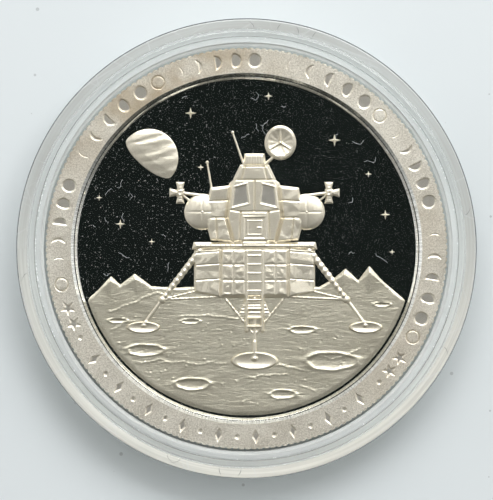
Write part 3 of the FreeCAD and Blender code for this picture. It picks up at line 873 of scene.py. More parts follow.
def value_noise(x, y, size, seed):
    """Smooth random values from -1 to 1, in patches of a size."""
    rng = np.random.default_rng(seed)
    lattice = rng.uniform(-1, 1, (64, 64))
    u, v = x / size + 200.0, y / size + 200.0
    i, j = np.floor(u).astype(int), np.floor(v).astype(int)
    fu, fv = u - i, v - j
    fu, fv = fu * fu * (3 - 2 * fu), fv * fv * (3 - 2 * fv)
    a, b = lattice[i % 64, j % 64], lattice[(i + 1) % 64, j % 64]
    c, d = lattice[i % 64, (j + 1) % 64], lattice[(i + 1) % 64, (j + 1) % 64]
    return (a * (1 - fu) + b * fu) * (1 - fv) + (c * (1 - fu) + d * fu) * fv


def crumple(x, y, size, seed):
    """Heights of crumpled foil, 0 to 1: flat facets that meet in straight creases."""
    rng = np.random.default_rng(seed)
    table = rng.uniform(0, 1, (64, 64, 4))
    u, v = x / size + 200.0, y / size + 200.0
    i, j = np.floor(u).astype(int), np.floor(v).astype(int)
    best = np.full(np.shape(x), -np.inf)
    for di in (-1, 0, 1):
        for dj in (-1, 0, 1):
            cell = table[(i + di) % 64, (j + dj) % 64]
            px = u - (i + di) - cell[..., 0]
            py = v - (j + dj) - cell[..., 1]
            turn = cell[..., 2] * math.pi
            along = np.abs(px * np.cos(turn) + py * np.sin(turn))
            aside = np.abs(-px * np.sin(turn) + py * np.cos(turn))
            best = np.maximum(best, cell[..., 3] - 0.35 * along - 0.95 * aside)
    return np.clip(best + 0.6, 0, 1.6) / 1.6


def dome(share):
    """A round dome's height, 1 in its middle and 0 from its rim outwards."""
    return np.sqrt(np.clip(1 - share ** 2, 0, None))


class Relief:
    """A table of heights above the mirror field over a rectangle of the picture."""

    def __init__(self, left, bottom, right, top, step):
        self.xs = np.arange(left, right + step, step)
        self.ys = np.arange(bottom, top + step, step)
        self.x, self.y = np.meshgrid(self.xs, self.ys)
        self.z = np.full(self.x.shape, -relief_sink)

    def window(self, outline, reach):
        across, up = zip(*outline)
        columns = (self.xs > min(across) - reach) & (self.xs < max(across) + reach)
        rows = (self.ys > min(up) - reach) & (self.ys < max(up) + reach)
        return np.ix_(rows, columns)

    def lay(self, here, shape):
        self.z[here] = np.maximum(self.z[here], shape)

    def slab(self, outline, shape_of, texture=None):
        """A raised flat. Its shape comes from the place and the distance to the outline, and its
        texture is added where it stands full."""
        here = self.window(outline, 0.4 * mm)
        x, y = self.x[here], self.y[here]
        away = outline_distance(x, y, outline)
        shape = shape_of(x, y, away)
        if texture:
            shape = shape + texture(x, y) * np.clip(-away / (0.25 * mm), 0, 1)
        self.lay(here, shape)

    def block(self, outline, height, base=0.0, texture=None, draft=relief_draft):
        """A slab with a level top and drafted walls."""
        def drafted(x, y, away):
            rise = -away / ((height - base) * draft)
            return base + (height - base) * np.where(rise < 0, rise, eased(rise))

        self.slab(outline, drafted, texture)

    def slant(self, outline, heights, texture=None):
        """A slab whose top slants or bends: its height is a function of the place."""
        def slanting(x, y, away):
            top = heights(x, y) * eased(-away / (0.12 * mm))
            return np.where(away > 0, -away / relief_draft, top)

        self.slab(outline, slanting, texture)

    def rod(self, start, end, radius, axis_height, end_radius=None, rings=0.0, pitch=0.4 * mm):
        """A round rod half sunk in the picture, and rings of wrinkles along it."""
        here = self.window([start, end], radius + 0.4 * mm)
        share, away = from_line(self.x[here], self.y[here], start, end)
        girth = radius + ((end_radius or radius) - radius) * share
        girth = girth * (1 + rings * np.sin(2 * math.pi * share * math.dist(start, end) / pitch))
        crown = np.sqrt(np.clip(girth ** 2 - away ** 2, 0, None))
        self.lay(here, axis_height + np.where(away < girth, crown, -(away - girth) * 3))

    def oval(self, centre, across, up):
        """The window round an oval, the places there from its middle, and their share of the way
        out to its rim."""
        (cx, cy), reach = centre, max(across, up)
        here = self.window([(cx - reach, cy - reach), (cx + reach, cy + reach)], 0.4 * mm)
        x, y = self.x[here] - cx, self.y[here] - cy
        return here, x, y, np.hypot(x / across, y / up)

    def cap(self, centre, across, up, height, texture=None):
        """A low dome of oval plan."""
        here, x, y, share = self.oval(centre, across, up)
        shape = np.where(share < 1, height * dome(share), (1 - share) * up * 3)
        if texture:
            shape = shape + texture(x, y) * np.clip((1 - share) * 4, 0, 1)
        self.lay(here, shape)

    def stroke(self, points, width, depth, lowest=0.03 * mm):
        """A line cut into what stands here, or raised where the depth is negative."""
        for start, end in zip(points, points[1:]):
            here = self.window([start, end], width)
            away = from_line(self.x[here], self.y[here], start, end)[1]
            cut = depth * np.clip(1 - (2 * away / width) ** 2, 0, None)
            self.z[here] = np.where(self.z[here] > lowest, self.z[here] - cut, self.z[here])

    def sunk(self, outline, depth, wall=0.07 * mm):
        """A flat-bottomed recess."""
        here = self.window(outline, 0.1 * mm)
        away = outline_distance(self.x[here], self.y[here], outline)
        self.z[here] -= depth * np.clip(-away / wall, 0, 1)

    def mesh(self, name, finish):
        """The mesh of what stands above the field, with a narrow skirt just below it."""
        high = self.z > -0.9 * relief_sink
        near = high.copy()
        near[1:] |= high[:-1]
        near[:-1] |= high[1:]
        near[:, 1:] |= high[:, :-1]
        near[:, :-1] |= high[:, 1:]
        cells = near[:-1, :-1] & near[1:, :-1] & near[:-1, 1:] & near[1:, 1:]
        rows, columns = np.nonzero(cells)
        number = np.arange(self.z.size).reshape(self.z.shape)
        faces = np.stack(
            [number[rows, columns], number[rows, columns + 1],
             number[rows + 1, columns + 1], number[rows + 1, columns]], -1
        )
        used, faces = np.unique(faces, return_inverse=True)
        heights = np.maximum(self.z, -relief_sink) + field_z
        corners = np.stack([self.x.ravel(), self.y.ravel(), heights.ravel()], -1)[used]
        return mesh_from(name, corners, faces.reshape(-1, 4), finish, smooth=True)


frost = frosted_silver("frosted silver", (0.92, 0.865, 0.74), (0.74, 0.68, 0.56), 0.36, 0.6, 0.15)


# The ground: a plain that runs to a skyline, with hills along it, craters, pebbles and the
# fine wavy lines that the engraver's tool left.
relief_radius = field_radius - 0.45 * mm
ground_height = 0.16 * mm
ground_edge_height = 0.08 * mm
hill_height = 0.30 * mm
crater_lip = 0.09 * mm
crater_depth = (ground_height + crater_lip) * 0.60
edge_turn = 0.46 * mm
ridge_lines, pebble_count = 11, 150
skyline_share = (
    (-0.935, -0.300), (-0.870, -0.240), (-0.800, -0.165), (-0.745, -0.215), (-0.660, -0.150),
    (-0.560, -0.225), (-0.400, -0.232), (-0.200, -0.222), (0.040, -0.216), (0.260, -0.220),
    (0.430, -0.228), (0.520, -0.175), (0.585, -0.120), (0.660, -0.190), (0.725, -0.105),
    (0.800, -0.190), (0.870, -0.250), (0.930, -0.300),
)
hills_share = (
    ((-0.885, -0.265), (-0.800, -0.345), (-0.740, -0.225), (-0.800, -0.168), (-0.803, -0.190)),
    ((-0.745, -0.235), (-0.640, -0.340), (-0.555, -0.232), (-0.660, -0.153), (-0.655, -0.178)),
    ((0.440, -0.240), (0.570, -0.350), (0.655, -0.205), (0.585, -0.123), (0.580, -0.150)),
    ((0.655, -0.215), (0.720, -0.330), (0.865, -0.255), (0.725, -0.108), (0.728, -0.138)),
)
craters_share = (
    (0.500, -0.665, 0.150, 0.050), (-0.600, -0.600, 0.105, 0.032), (0.330, -0.480, 0.075, 0.019),
    (-0.320, -0.800, 0.100, 0.033), (0.800, -0.330, 0.050, 0.012), (0.215, -0.860, 0.075, 0.024),
    (-0.760, -0.425, 0.055, 0.013), (-0.330, -0.430, 0.055, 0.013),
)


def on_field(share):
    return (field_radius * share[0], field_radius * share[1])


ground = Relief(-16.6 * mm, -16.6 * mm, 16.6 * mm, -1.5 * mm, 0.08 * mm)
x, y = ground.x, ground.y
skyline = [on_field(share) for share in skyline_share]
far, side_top = 18 * mm, -5 * mm
below_sky = outline_distance(
    x, y, [(far, side_top), (far, -far), (-far, -far), (-far, side_top), *skyline]
)
past_edge = np.hypot(x, y) - relief_radius
edge_away = np.maximum(below_sky, past_edge)
plain = ground_edge_height + (ground_height - ground_edge_height) * eased(-below_sky / (0.16 * mm))
swell = 0.016 * mm * value_noise(x, y * 1.8, 3.1 * mm, 11)
swell += 0.008 * mm * value_noise(x, y * 1.6, 1.1 * mm, 12)
plain = plain + swell * np.clip(-edge_away / (0.6 * mm), 0, 1)
plain = np.where(below_sky > 0, ground_edge_height - below_sky * 3, plain)
turn_down = np.clip((past_edge + 0.22 * mm) / edge_turn, 0, 1.3) ** 1.8
ground.z = np.maximum(ground.z, plain - (ground_height + 0.02 * mm) * turn_down)

ridge_rng = np.random.default_rng(17)
for _ in range(ridge_lines):
    start_x, start_y = ridge_rng.uniform(-15, 9) * mm, ridge_rng.uniform(-15.2, -5.4) * mm
    line, heading = [(start_x, start_y)], ridge_rng.uniform(-0.25, 0.25)
    for _ in range(ridge_rng.integers(9, 20)):
        heading = 0.7 * heading + ridge_rng.normal(0, 0.22)
        (last_x, last_y), step = line[-1], 0.42 * mm
        line.append((last_x + step * math.cos(heading), last_y + step * math.sin(heading)))
    line = [point for point in line if math.hypot(*point) < relief_radius - 0.6 * mm]
    ground.stroke(line, 0.26 * mm, -0.022 * mm, lowest=0.10 * mm)

for *foot, summit in hills_share:
    foot = [on_field(share) for share in foot]
    sx, sy = on_field(summit)
    steep = np.full(x.shape, np.inf)
    for (ax, ay), (bx, by) in zip(foot, foot[1:] + foot[:1]):
        nx, ny = ay - by, bx - ax
        at_summit = (sx - ax) * nx + (sy - ay) * ny
        steep = np.minimum(steep, ((x - ax) * nx + (y - ay) * ny) / at_summit)
    rough_face = 0.10 * (crumple(x, y * 0.8, 1.5 * mm, 31) - 0.5)
    steep_share = steep + rough_face * np.clip(steep * 4, 0, 1)
    rise = ground_edge_height + (hill_height - ground_edge_height) * steep_share
    rise = np.where(below_sky > 0, -below_sky, rise - hill_height * turn_down)
    ground.z = np.where(steep > -0.02, np.maximum(ground.z, rise), ground.z)

for across_at, up_at, half_width, half_depth in craters_share:
    cx, cy = on_field((across_at, up_at))
    across, up = on_field((half_width, half_depth))
    turn = np.arctan2((y - cy) / up, (x - cx) / across)
    ragged = 1 + 0.035 * np.sin(3 * turn + across_at * 40) + 0.03 * np.sin(7 * turn + up_at * 30)
    share = np.hypot((x - cx) / across, (y - cy) / up) / ragged
    lip = 0.8 * crater_lip * np.exp(-(((share - 1) / np.where(share > 1, 0.17, 0.10)) ** 2))
    bowl = -crater_depth * np.clip(1 - (share / 0.94) ** 2.4, 0, 1) * 0.62
    slope = 0.010 * mm * np.sin(turn * 9) * np.exp(-(((share - 1.35) / 0.3) ** 2))
    crater = np.where(share < 2, lip + bowl + slope, 0)
    ground.z = np.where(edge_away < -0.1 * mm, ground.z + crater, ground.z)

rng = np.random.default_rng(5)
pebbles = 0
while pebbles < pebble_count:
    px, py = rng.uniform(-16, 16) * mm, rng.uniform(-16, -4.4) * mm
    size = rng.uniform(0.07, 0.19) * mm * (0.55 + 0.45 * (-py / (16 * mm)))
    if math.hypot(px, py) > relief_radius - 0.5 * mm:
        continue
    pebbles += 1
    here, _, _, share = ground.oval((px, py), size, 0.62 * size)
    pit = rng.random() < 0.45
    ground.z[here] += (-0.30 if pit else 0.30) * size * dome(share)

ground_silver = frosted_silver(
    "frosted ground", (0.75, 0.71, 0.595), (0.47, 0.435, 0.345), 0.38, 0.6, 0.15
)
tree = ground_silver.node_tree
shader = next(node for node in tree.nodes if node.type == "BSDF_PRINCIPLED")
stretched = {"Vector": own_position(tree), "Scale": (0.26, 1, 1)}
stretched = add(tree, "ShaderNodeMapping", stretched).outputs[0]
tool_marks = noise(tree, 4200.0, 4.0, 0.5, stretched, 0.9)
frost_normal = shader.inputs["Normal"].links[0].from_socket
feed(tree, shader, {"Normal": relief_of(tree, tool_marks, 0.8, 0.05 * mm, frost_normal)})
medal_piece(ground.mesh("medal_ground", ground_silver))


# The sky: a banded planet, lit from the upper right and lost in the mirror on its dark side,
# and a few four-pointed stars.
planet_x, planet_y = on_field((-0.575, 0.535))
planet_radius = field_radius * 0.172
planet_height = 0.24 * mm
planet_tilt = math.radians(50)
half = 3.1 * mm
planet = Relief(planet_x - half, planet_y - half, planet_x + half, planet_y + half, 0.05 * mm)
x, y = planet.x - planet_x, planet.y - planet_y
u = (x * math.cos(planet_tilt) + y * math.sin(planet_tilt)) / planet_radius
v = (-x * math.sin(planet_tilt) + y * math.cos(planet_tilt)) / planet_radius
reach = np.hypot(u, v)
terminator = -0.35 * dome(v)
lit = np.minimum((1 - reach) * planet_radius, (u - terminator) * planet_radius * 0.9)
globe = planet_height * dome(reach)
belt = y / planet_radius - 0.25 * x / planet_radius
belts = 0.018 * mm * np.sin(belt * 17 + 1.2 * value_noise(x, y * 2, 1.3 * mm, 21))
storms = 0.016 * mm * crumple(x, y * 2.2, 0.8 * mm, 22)
fade = np.clip((u - terminator) / 0.35, 0, 1)
globe = (globe + belts + storms) * (0.35 + 0.65 * fade)
planet.z = np.where(lit > 0, np.minimum(globe, lit * 3), lit * 3)
medal_piece(planet.mesh("medal_planet", frost))

sky_stars_share = (
    (-0.745, 0.145, 0.030), (-0.330, 0.800, 0.036), (0.130, 0.900, 0.026), (-0.870, 0.300, 0.020),
    (0.520, 0.640, 0.038), (0.820, 0.200, 0.030), (0.720, 0.440, 0.020), (-0.560, 0.040, 0.020),
    (-0.270, 0.480, 0.020), (0.860, -0.020, 0.018),
)
star_corners, star_faces = [], []
for across_at, up_at, reach_share in sky_stars_share:
    cx, cy = on_field((across_at, up_at))
    outline = star_points(field_radius * reach_share, 4, 0.3, cx, cy)
    first = len(star_corners)
    star_corners += [(px, py, field_z - 0.01 * mm) for px, py in outline]
    star_corners.append((cx, cy, field_z + 0.16 * mm))
    star_faces += [(first + i, first + (i + 1) % 8, first + 8) for i in range(8)]
medal_piece(mesh_from("medal_stars", star_corners, star_faces, frost))


# The lander: the relief's main figure, seen from the front. Its lower stage is wrapped in
# crumpled foil, its cabin is plated, and its legs are tubes with foil sleeves. All of it is
# struck silver, frosted by the die.
lander_height = 23.0 * mm
lander_x, lander_y = 0.8 * mm, -9.8 * mm
side_height, body_height, cabin_height = 0.32 * mm, 0.44 * mm, 0.50 * mm
leg_axis, brace_axis, ladder_axis = 0.04 * mm, 0.08 * mm, 0.39 * mm
strut_radius, piston_radius, brace_radius = 0.31 * mm, 0.22 * mm, 0.15 * mm
rail_radius, rung_radius = 0.12 * mm, 0.095 * mm


def on_lander(across, up, side=1):
    return (lander_x + side * lander_height * across, lander_y + lander_height * up)


def lander_outline(shares, side=1):
    return [on_lander(across, up, side) for across, up in shares]


def tapered(low_half, low, high_half, high):
    """A four-sided outline that is even about the lander's middle."""
    corners = (-low_half, low), (low_half, low), (high_half, high), (-high_half, high)
    return lander_outline(corners)


def tube(start, end, radius, axis, side=1, **more):
    lander.rod(on_lander(*start, side), on_lander(*end, side), radius, axis, **more)


def cut(shares, width, depth, side=1):
    lander.stroke(lander_outline(shares, side), width, depth)


def boss(centre, radius, height):
    lander.cap(centre, radius, radius, height)


def about_middle(outline, scale):
    """An outline grown or shrunk about its own middle."""
    cx, cy = np.mean(outline, axis=0)
    return [(cx + scale * (px - cx), cy + scale * (py - cy)) for px, py in outline]


lander = Relief(-12.4 * mm, -12.4 * mm, 14.0 * mm, 12.6 * mm, 0.055 * mm)

# Aerials and the dish stand behind the cabin.
for foot, tip in (((-0.045, 0.785), (-0.095, 0.930)), ((-0.180, 0.650), (-0.205, 0.800))):
    tube(foot, tip, 0.09 * mm, leg_axis, end_radius=0.06 * mm)
    boss(on_lander(*tip), 0.15 * mm, 0.17 * mm)
tube((0.045, 0.790), (0.095, 0.835), rail_radius, brace_axis)
dish_x, dish_y = on_lander(0.112, 0.885)
dish_across, dish_up = lander_height * 0.062, lander_height * 0.068
dish_brim, brim_height = 0.86, 0.32 * mm
here, x, y, share = lander.oval((dish_x, dish_y), dish_across, dish_up)
bowl = 0.09 * mm + 0.23 * mm * np.clip(share / dish_brim, 0, 1) ** 2
bowl += 0.012 * mm * np.cos(np.arctan2(y, x) * 12) * np.clip(share * 1.6, 0, 1)
brim = brim_height - np.clip(share - 1, 0, None) * dish_across * 2.2
lander.lay(here, np.where(share < dish_brim, bowl, brim))
for spoke in (90, 210, 330):
    a = math.radians(spoke)
    rim_point = (dish_x + 0.84 * dish_across * math.cos(a), dish_y + 0.84 * dish_up * math.sin(a))
    lander.rod(rim_point, (dish_x, dish_y), 0.055 * mm, 0.27 * mm)
boss((dish_x, dish_y), 0.20 * mm, 0.38 * mm)

# Thrusters: four-way nozzle blocks on outriggers, each braced by two thin tubes.
block_half, throat, mouth = lander_height * 0.017, lander_height * 0.008, lander_height * 0.019
nozzle_reach = lander_height * 0.030
far = block_half + nozzle_reach
for side in (1, -1):
    block_at = (0.322, 0.668)
    bx, by = on_lander(*block_at, side)
    tube((0.180, 0.650), block_at, rail_radius, brace_axis, side)
    tube((0.196, 0.560), block_at, 0.08 * mm, brace_axis, side)
    for dx, dy in ((side, 0), (0, 1), (0, -1)):
        def on_nozzle(along, across):
            return (bx + dx * along - dy * across, by + dy * along + dx * across)

        nozzle = ((0, -throat), (far, -mouth), (far, mouth), (0, throat))
        lander.block([on_nozzle(*corner) for corner in nozzle], side_height * 0.95)
        for share in (0.60, 0.78, 0.96):
            across = throat + (mouth - throat) * share
            hoop = [on_nozzle(far * share, across), on_nozzle(far * share, -across)]
            lander.stroke(hoop, 0.13 * mm, 0.035 * mm)
    corners = ((-1, -1), (1, -1), (1, 1), (-1, 1))
    square = [(bx + block_half * dx, by + block_half * dy) for dx, dy in corners]
    lander.block(square, side_height + 0.05 * mm)
    lander.sunk(about_middle(square, 0.45), 0.06 * mm)

# Side legs: a strut with foil sleeves, a bright piston, two braces and an oval pad.
def foot_pad(centre, across, up, hollow, wall_share):
    """A dished pad, seen at a slant."""
    here, _, _, share = lander.oval(centre, across, up)
    dished = 0.36 * mm - hollow * np.clip(1 - (share / 0.74) ** 2, 0, 1)
    dished += 0.03 * mm * np.clip((share - 0.7) / 0.16, 0, 1)
    walls = 0.40 * mm * eased((1 - share) / wall_share)
    lander.lay(here, np.where(share < 1, np.minimum(dished, walls), (1 - share) * up * 3))


brace_sleeves = {"rings": 0.10, "pitch": 0.5 * mm}
strut_sleeves = {"rings": 0.10, "pitch": 0.62 * mm, "end_radius": strut_radius * 0.92}
leg_top, knee, foot = (0.235, 0.420), (0.400, 0.205), (0.472, 0.108)
for side in (1, -1):
    for root in ((0.258, 0.240), (0.140, 0.218)):
        tube(root, knee, brace_radius, brace_axis, side, **brace_sleeves)
    tube(knee, foot, piston_radius, leg_axis, side)
    tube(leg_top, knee, strut_radius, leg_axis, side, **strut_sleeves)
    boss(on_lander(*knee, side), 0.42 * mm, 0.40 * mm)
    pad_at = on_lander(0.482, 0.085, side)
    foot_pad(pad_at, lander_height * 0.078, lander_height * 0.027, 0.13 * mm, 0.13)
    tube(foot, (0.478, 0.098), piston_radius, 0.16 * mm, side)
    lander.cap(on_lander(0.480, 0.094, side), 0.34 * mm, 0.26 * mm, 0.42 * mm)

# Engine bell, with hoops round it, below the lower stage.
bell_mouth, bell_neck = (0.078, 0.130), (0.042, 0.216)


def bell_height(x, y):
    return side_height * (1.02 - 0.35 * ((x - lander_x) / (lander_height * 0.075)) ** 2)


lander.slant(tapered(*bell_mouth, *bell_neck), bell_height)
for share in (0.12, 0.28, 0.45, 0.63, 0.82):
    half, level = (a + (b - a) * share for a, b in zip(bell_mouth, bell_neck))
    cut(((-half, level), (half, level)), 0.16 * mm, 0.045 * mm)

# Lower stage: a foil-wrapped box. The front is flat, and the two sides turn away.


def foil(size, depth, seed, up=1.0):
    return lambda x, y: depth * (crumple(x, y * up, size, seed) - 0.55)


face_half, flank_half = 0.147, 0.262


def flank_height(x, y):
    out = (np.abs(x - lander_x) / lander_height - face_half) / (flank_half - face_half)
    return body_height - (body_height - side_height) * np.clip(out, 0, 1)


for side in (1, -1):
    flank = ((face_half, 0.215), (flank_half, 0.236), (flank_half, 0.418), (face_half, 0.430))
    creases = foil(1.25 * mm, 0.24 * mm, 41 + side, 0.8)
    lander.slant(lander_outline(flank, side), flank_height, creases)
    for seam in (0.300, 0.365, 0.418):
        cut(((0.152, seam - 0.004), (0.258, seam - 0.012)), 0.15 * mm, 0.06 * mm, side)
lander.block(tapered(face_half, 0.215, face_half, 0.430), body_height)
for left, right in ((-0.138, -0.094), (-0.088, -0.044), (0.044, 0.088), (0.094, 0.138)):
    for row, (bottom, top) in enumerate(((0.226, 0.286), (0.294, 0.354), (0.362, 0.416))):
        panel = lander_outline(((left, bottom), (right, bottom), (right, top), (left, top)))
        creases = foil(0.62 * mm, 0.15 * mm, 50 + row * 4 + int(left * 100))
        lander.block(panel, body_height + 0.045 * mm, body_height, creases, draft=1.2)
        for stud in about_middle(panel, 0.86):
            boss(stud, 0.07 * mm, body_height + 0.07 * mm)

# Upper stage: side bays, tanks, the plated cabin with its windows and hatch, and the drum.
seam_width, seam_depth = 0.20 * mm, 0.14 * mm
tank = lander_height * 0.078
bay = (
    (0.092, 0.452), (0.190, 0.462), (0.216, 0.560), (0.192, 0.690), (0.106, 0.700), (0.122, 0.560),
)
bay_seams = (
    ((0.124, 0.560), (0.214, 0.560)), ((0.118, 0.636), (0.202, 0.630)),
    ((0.160, 0.458), (0.168, 0.556)),
)


def tank_seams(x, y):
    return -0.030 * mm * (np.exp(-((x / (0.10 * mm)) ** 2)) + np.exp(-((y / (0.10 * mm)) ** 2)))


for side in (1, -1):
    creases = foil(0.95 * mm, 0.14 * mm, 61 + side)
    lander.block(lander_outline(bay, side), 0.38 * mm, texture=creases)
    for seam in bay_seams:
        cut(seam, seam_width, seam_depth, side)
    tank_at = on_lander(0.226, 0.585, side)
    lander.cap(tank_at, tank, tank, 0.44 * mm, tank_seams)
    boss(tank_at, 0.17 * mm, 0.48 * mm)

lander.block(tapered(0.050, 0.784, 0.044, 0.838), body_height)
for across in (-0.036, -0.024, -0.012, 0.0, 0.012, 0.024, 0.036):
    cut(((across, 0.792), (across * 0.9, 0.830)), 0.12 * mm, 0.05 * mm)

cabin_side = ((0.092, 0.452), (0.122, 0.560), (0.106, 0.700), (0.062, 0.790))
cabin_face = lander_outline(cabin_side) + lander_outline(cabin_side[::-1], -1)
lander.block(cabin_face, cabin_height, texture=foil(2.6 * mm, 0.06 * mm, 71))
for seam in (
    ((-0.112, 0.596), (-0.060, 0.586), (0.060, 0.586), (0.112, 0.596)),
    ((-0.100, 0.724), (0.100, 0.724)), ((0.0, 0.590), (0.0, 0.720)),
    ((-0.056, 0.726), (-0.040, 0.786)), ((0.056, 0.726), (0.040, 0.786)),
    ((-0.060, 0.586), (-0.066, 0.456)), ((0.060, 0.586), (0.066, 0.456)),
):
    cut(seam, seam_width, seam_depth)
panes = []
for side in (1, -1):
    window = lander_outline(((0.024, 0.622), (0.098, 0.604), (0.086, 0.692), (0.034, 0.706)), side)
    lander.block(about_middle(window, 1.16), cabin_height + 0.04 * mm, cabin_height, draft=1.0)
    lander.sunk(window, 0.15 * mm)
    panes.append(window)
    for spot in ((0.075, 0.480), (0.098, 0.540), (0.090, 0.574)):
        boss(on_lander(*spot, side), 0.075 * mm, cabin_height + 0.05 * mm)
hatch_frame = tapered(0.052, 0.463, 0.052, 0.569)
lander.block(hatch_frame, cabin_height + 0.035 * mm, cabin_height, draft=1.0)
lander.sunk(tapered(0.045, 0.470, 0.045, 0.562), 0.075 * mm)
hatch_bead = ((-0.030, 0.486), (-0.030, 0.546), (0.030, 0.546), (0.030, 0.486), (-0.030, 0.486))
cut(hatch_bead, 0.12 * mm, -0.035 * mm)
tube((0.014, 0.516), (0.028, 0.516), 0.07 * mm, cabin_height - 0.03 * mm)

# The deck between the stages, with strakes, and the porch above the ladder.
lander.block(tapered(0.272, 0.422, 0.264, 0.454), cabin_height)
for across in np.linspace(-0.258, 0.258, 25):
    if abs(across) > 0.07:
        cut(((across, 0.428), (across, 0.448)), 0.12 * mm, 0.06 * mm)
lander.block(tapered(0.068, 0.424, 0.058, 0.464), cabin_height + 0.03 * mm)
for level in (0.434, 0.444, 0.454):
    cut(((-0.058, level), (0.058, level)), 0.10 * mm, 0.05 * mm)

# The front leg, with its braces, ladder and pad.
rungs, ladder_half, ladder_foot, ladder_top = 9, 0.034, 0.070, 0.415
tube((0, 0.215), (0, -0.040), piston_radius, leg_axis)
for side in (1, -1):
    tube((0.135, 0.220), (0, 0.050), brace_radius, brace_axis, side, **brace_sleeves)
foot_pad(on_lander(0, -0.060), lander_height * 0.108, lander_height * 0.041, 0.14 * mm, 0.12)
tube((0, 0.02), (0, -0.048), piston_radius * 1.1, 0.14 * mm)
lander.cap(on_lander(0, -0.050), 0.44 * mm, 0.32 * mm, 0.44 * mm)
for i in range(rungs):
    level = ladder_foot + (ladder_top - ladder_foot) * (i + 0.5) / rungs
    tube((-ladder_half, level), (ladder_half, level), rung_radius, ladder_axis)
for side in (1, -1):
    tube((ladder_half, ladder_top), (ladder_half, ladder_foot), rail_radius, ladder_axis, side)
lander_piece = lander.mesh("medal_lander", frost)
lander_piece.data.materials.append(polished)
centres = np.empty(3 * len(lander_piece.data.polygons), np.float32)
lander_piece.data.polygons.foreach_get("center", centres)
glazed = np.minimum(*(outline_distance(centres[0::3], centres[1::3], window) for window in panes))
lander_piece.data.polygons.foreach_set("material_index", (glazed < -0.06 * mm).astype(np.int32))
medal_piece(lander_piece)


# The back of the medal: a plain mirror field inside a flat satin rim and one bevel.
back_field_z = medal_bottom + 0.42 * mm
back = turned(
    "medal_back",
    [
        (0, back_field_z), (field_radius, back_field_z), (rim_inner_radius, medal_bottom),
        (margin_radius, medal_bottom),
    ],
    satin, 360, closed=False,
)
back_mirror = mirror_silver("mirror silver back", 0.5, 0.4)
back.data.materials.append(back_mirror)
for polygon in back.data.polygons:
    x, y, z = polygon.center
    if math.hypot(x, y) < rim_inner_radius and abs(z - medal_bottom) > 0.01 * mm:
        polygon.material_index = 1
medal_piece(back)


# Lint: short fibres of cloth and paper that settled on the field before the capsule closed.
fibre_cloth = mottled(
    "lint", ((0.62, 0.66, 0.70), (0.86, 0.89, 0.92)), 1500, roughness=(0.8, 0.8)
)
fibre_radius = 0.011 * mm
fibre_tries, fibre_sides, fibre_steps = 26, 5, 14
rng = np.random.default_rng(23)
lint_corners, lint_faces = [], []
tries = 0
while tries < fibre_tries:
    radius = field_radius * math.sqrt(rng.uniform(0.02, 0.95))
    angle = rng.uniform(0, 2 * math.pi)
    px, py = radius * math.cos(angle), radius * math.sin(angle)
    if py < -3.4 * mm or abs(px - lander_x) < 7.6 * mm and py < 10.5 * mm:
        continue
    tries += 1
    heading, bend = rng.uniform(0, 2 * math.pi), rng.normal(0, 0.42, fibre_steps)
    length = rng.uniform(0.4, 2.0) * mm
    spine = [(px, py)]
    for k in range(fibre_steps - 1):
        heading += bend[k]
        last_x, last_y = spine[-1]
        step = length / fibre_steps
        spine.append((last_x + math.cos(heading) * step, last_y + math.sin(heading) * step))
    if max(math.hypot(*p) for p in spine) > field_radius - 0.2 * mm:
        continue
    first = len(lint_corners)
    for k, (sx, sy) in enumerate(spine):
        after = spine[min(k + 1, fibre_steps - 1)]
        before = spine[max(k - 1, 0)]
        along = math.atan2(after[1] - before[1], after[0] - before[0])
        thick = fibre_radius * (0.35 if k in (0, fibre_steps - 1) else 1.0)
        for n in range(fibre_sides):
            a = 2 * math.pi * n / fibre_sides
            out_by, up_by = thick * math.cos(a), thick * math.sin(a)
            lint_corners.append(
                (sx - math.sin(along) * out_by, sy + math.cos(along) * out_by,
                 field_z + fibre_radius * 1.1 + up_by)
            )
    for k in range(fibre_steps - 1):
        for n in range(fibre_sides):
            m = (n + 1) % fibre_sides
            a, b = first + k * fibre_sides, first + (k + 1) * fibre_sides
            lint_faces.append((a + n, a + m, b + m, b + n))
lint = mesh_from("lint_fibres", lint_corners, lint_faces, fibre_cloth, smooth=True)
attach(lint, "base")


# Painted glints: small white grains lying along the collar's top edge, standing in for the bright glints of the
# medal's reeded edge seen through the plastic. Most of them gather in two stretches.
glint_count = 170
glint_ring = collar_radius - 0.08 * mm
rng = np.random.default_rng(41)
picks = rng.random(glint_count)
glint_angles = np.where(
    picks < 0.45, rng.uniform(158, 204, glint_count),
    np.where(picks < 0.72, rng.uniform(18, 50, glint_count), rng.uniform(0, 360, glint_count)),
)
glint_mesh = bpy.data.meshes.new("glint_places")
glint_mesh.from_pydata(
    [
        (glint_ring * math.cos(a), glint_ring * math.sin(a), medal_top + 0.03 * mm)
        for a in np.radians(glint_angles)
    ], [], [],
)
glint_places = bpy.data.objects.new("glint_places", glint_mesh)
scene.collection.objects.link(glint_places)
# Painted highlight: the grains' near-white colour stands in for the glints.
painted_glint_white = mottled(
    "painted glint grains", ((0.80, 0.83, 0.84), (0.97, 0.98, 0.98)), 4000
)
scatter, given = geometry_tree(
    "scattered glints",
    {"Places": "Geometry", "Glint Radius": "Float", "Smallest": "Float", "Seed": "Int",
     "Finish": "Material"},
)
ball = {"Radius": given["Glint Radius"], "Subdivisions": 2}
ball = add(scatter, "GeometryNodeMeshIcoSphere", ball).outputs["Mesh"]
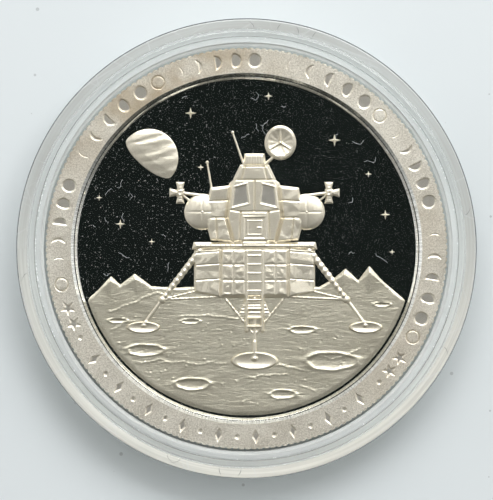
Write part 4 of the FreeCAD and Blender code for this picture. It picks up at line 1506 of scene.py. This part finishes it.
own_size = {2: given["Smallest"], 3: 1.0, 8: given["Seed"]}
own_size = add(scatter, "FunctionNodeRandomValue", own_size).outputs[1]
laid = {"Points": given["Places"], "Instance": ball, "Scale": own_size}
laid = add(scatter, "GeometryNodeInstanceOnPoints", laid).outputs[0]
end_tree(scatter, laid, given["Finish"], None)
painted_glints = grown(
    glint_places, scatter, "painted_glint_grains",
    {"Glint Radius": 0.07 * mm, "Smallest": 0.35, "Seed": 3, "Finish": painted_glint_white}, 60,
)
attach(painted_glints, "base")


# Cracks: hair cracks that run across the lid's lip, from prying it open. Each is a fine dark
# line lying in the top of the lip, bent one way or the other.
crack_width = 0.085 * mm
crack_angles = (249.0, 252.5, 262.9, 268.6, 88.1, 82.0, 76.4, 72.7, 8.7, 333.5, 186.4)
crack_bends = (3.2, -2.6, 0.7, -0.9, 1.4, -0.8, 1.1, -0.6, 1.8, -1.5, 2.2)
crack_steps = 14
cracked = mottled(
    "crack in the plastic", ((0.10, 0.105, 0.10), (0.26, 0.27, 0.26)), 900, roughness=(0.35, 0.35)
)
crack_corners, crack_faces = [], []
for angle, bend in zip(crack_angles, crack_bends):
    first = len(crack_corners)
    reaches = np.linspace(body_radius + 0.12 * mm, capsule_radius - lip_rounding * 0.9, crack_steps)
    leans = np.radians(angle + bend * np.linspace(0, 1, crack_steps) ** 2)
    for k, (r, lean) in enumerate(zip(reaches, leans)):
        half = crack_width / 2 * math.sin(math.pi * (k + 0.5) / crack_steps)
        for side in (1, -1):
            crack_corners.append((
                r * math.cos(lean) - side * half * math.sin(lean),
                r * math.sin(lean) + side * half * math.cos(lean), lid_lip_high + 0.004 * mm,
            ))
    crack_faces += [
        (first + 2 * k, first + 2 * k + 1, first + 2 * k + 3, first + 2 * k + 2)
        for k in range(crack_steps - 1)
    ]
cracks = mesh_from("lip_cracks", crack_corners, crack_faces, cracked)
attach(cracks, "lid")


size = {"cad": [list(map(float, c)) for c in cad_box], "visual": [list(map(float, c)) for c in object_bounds()]}
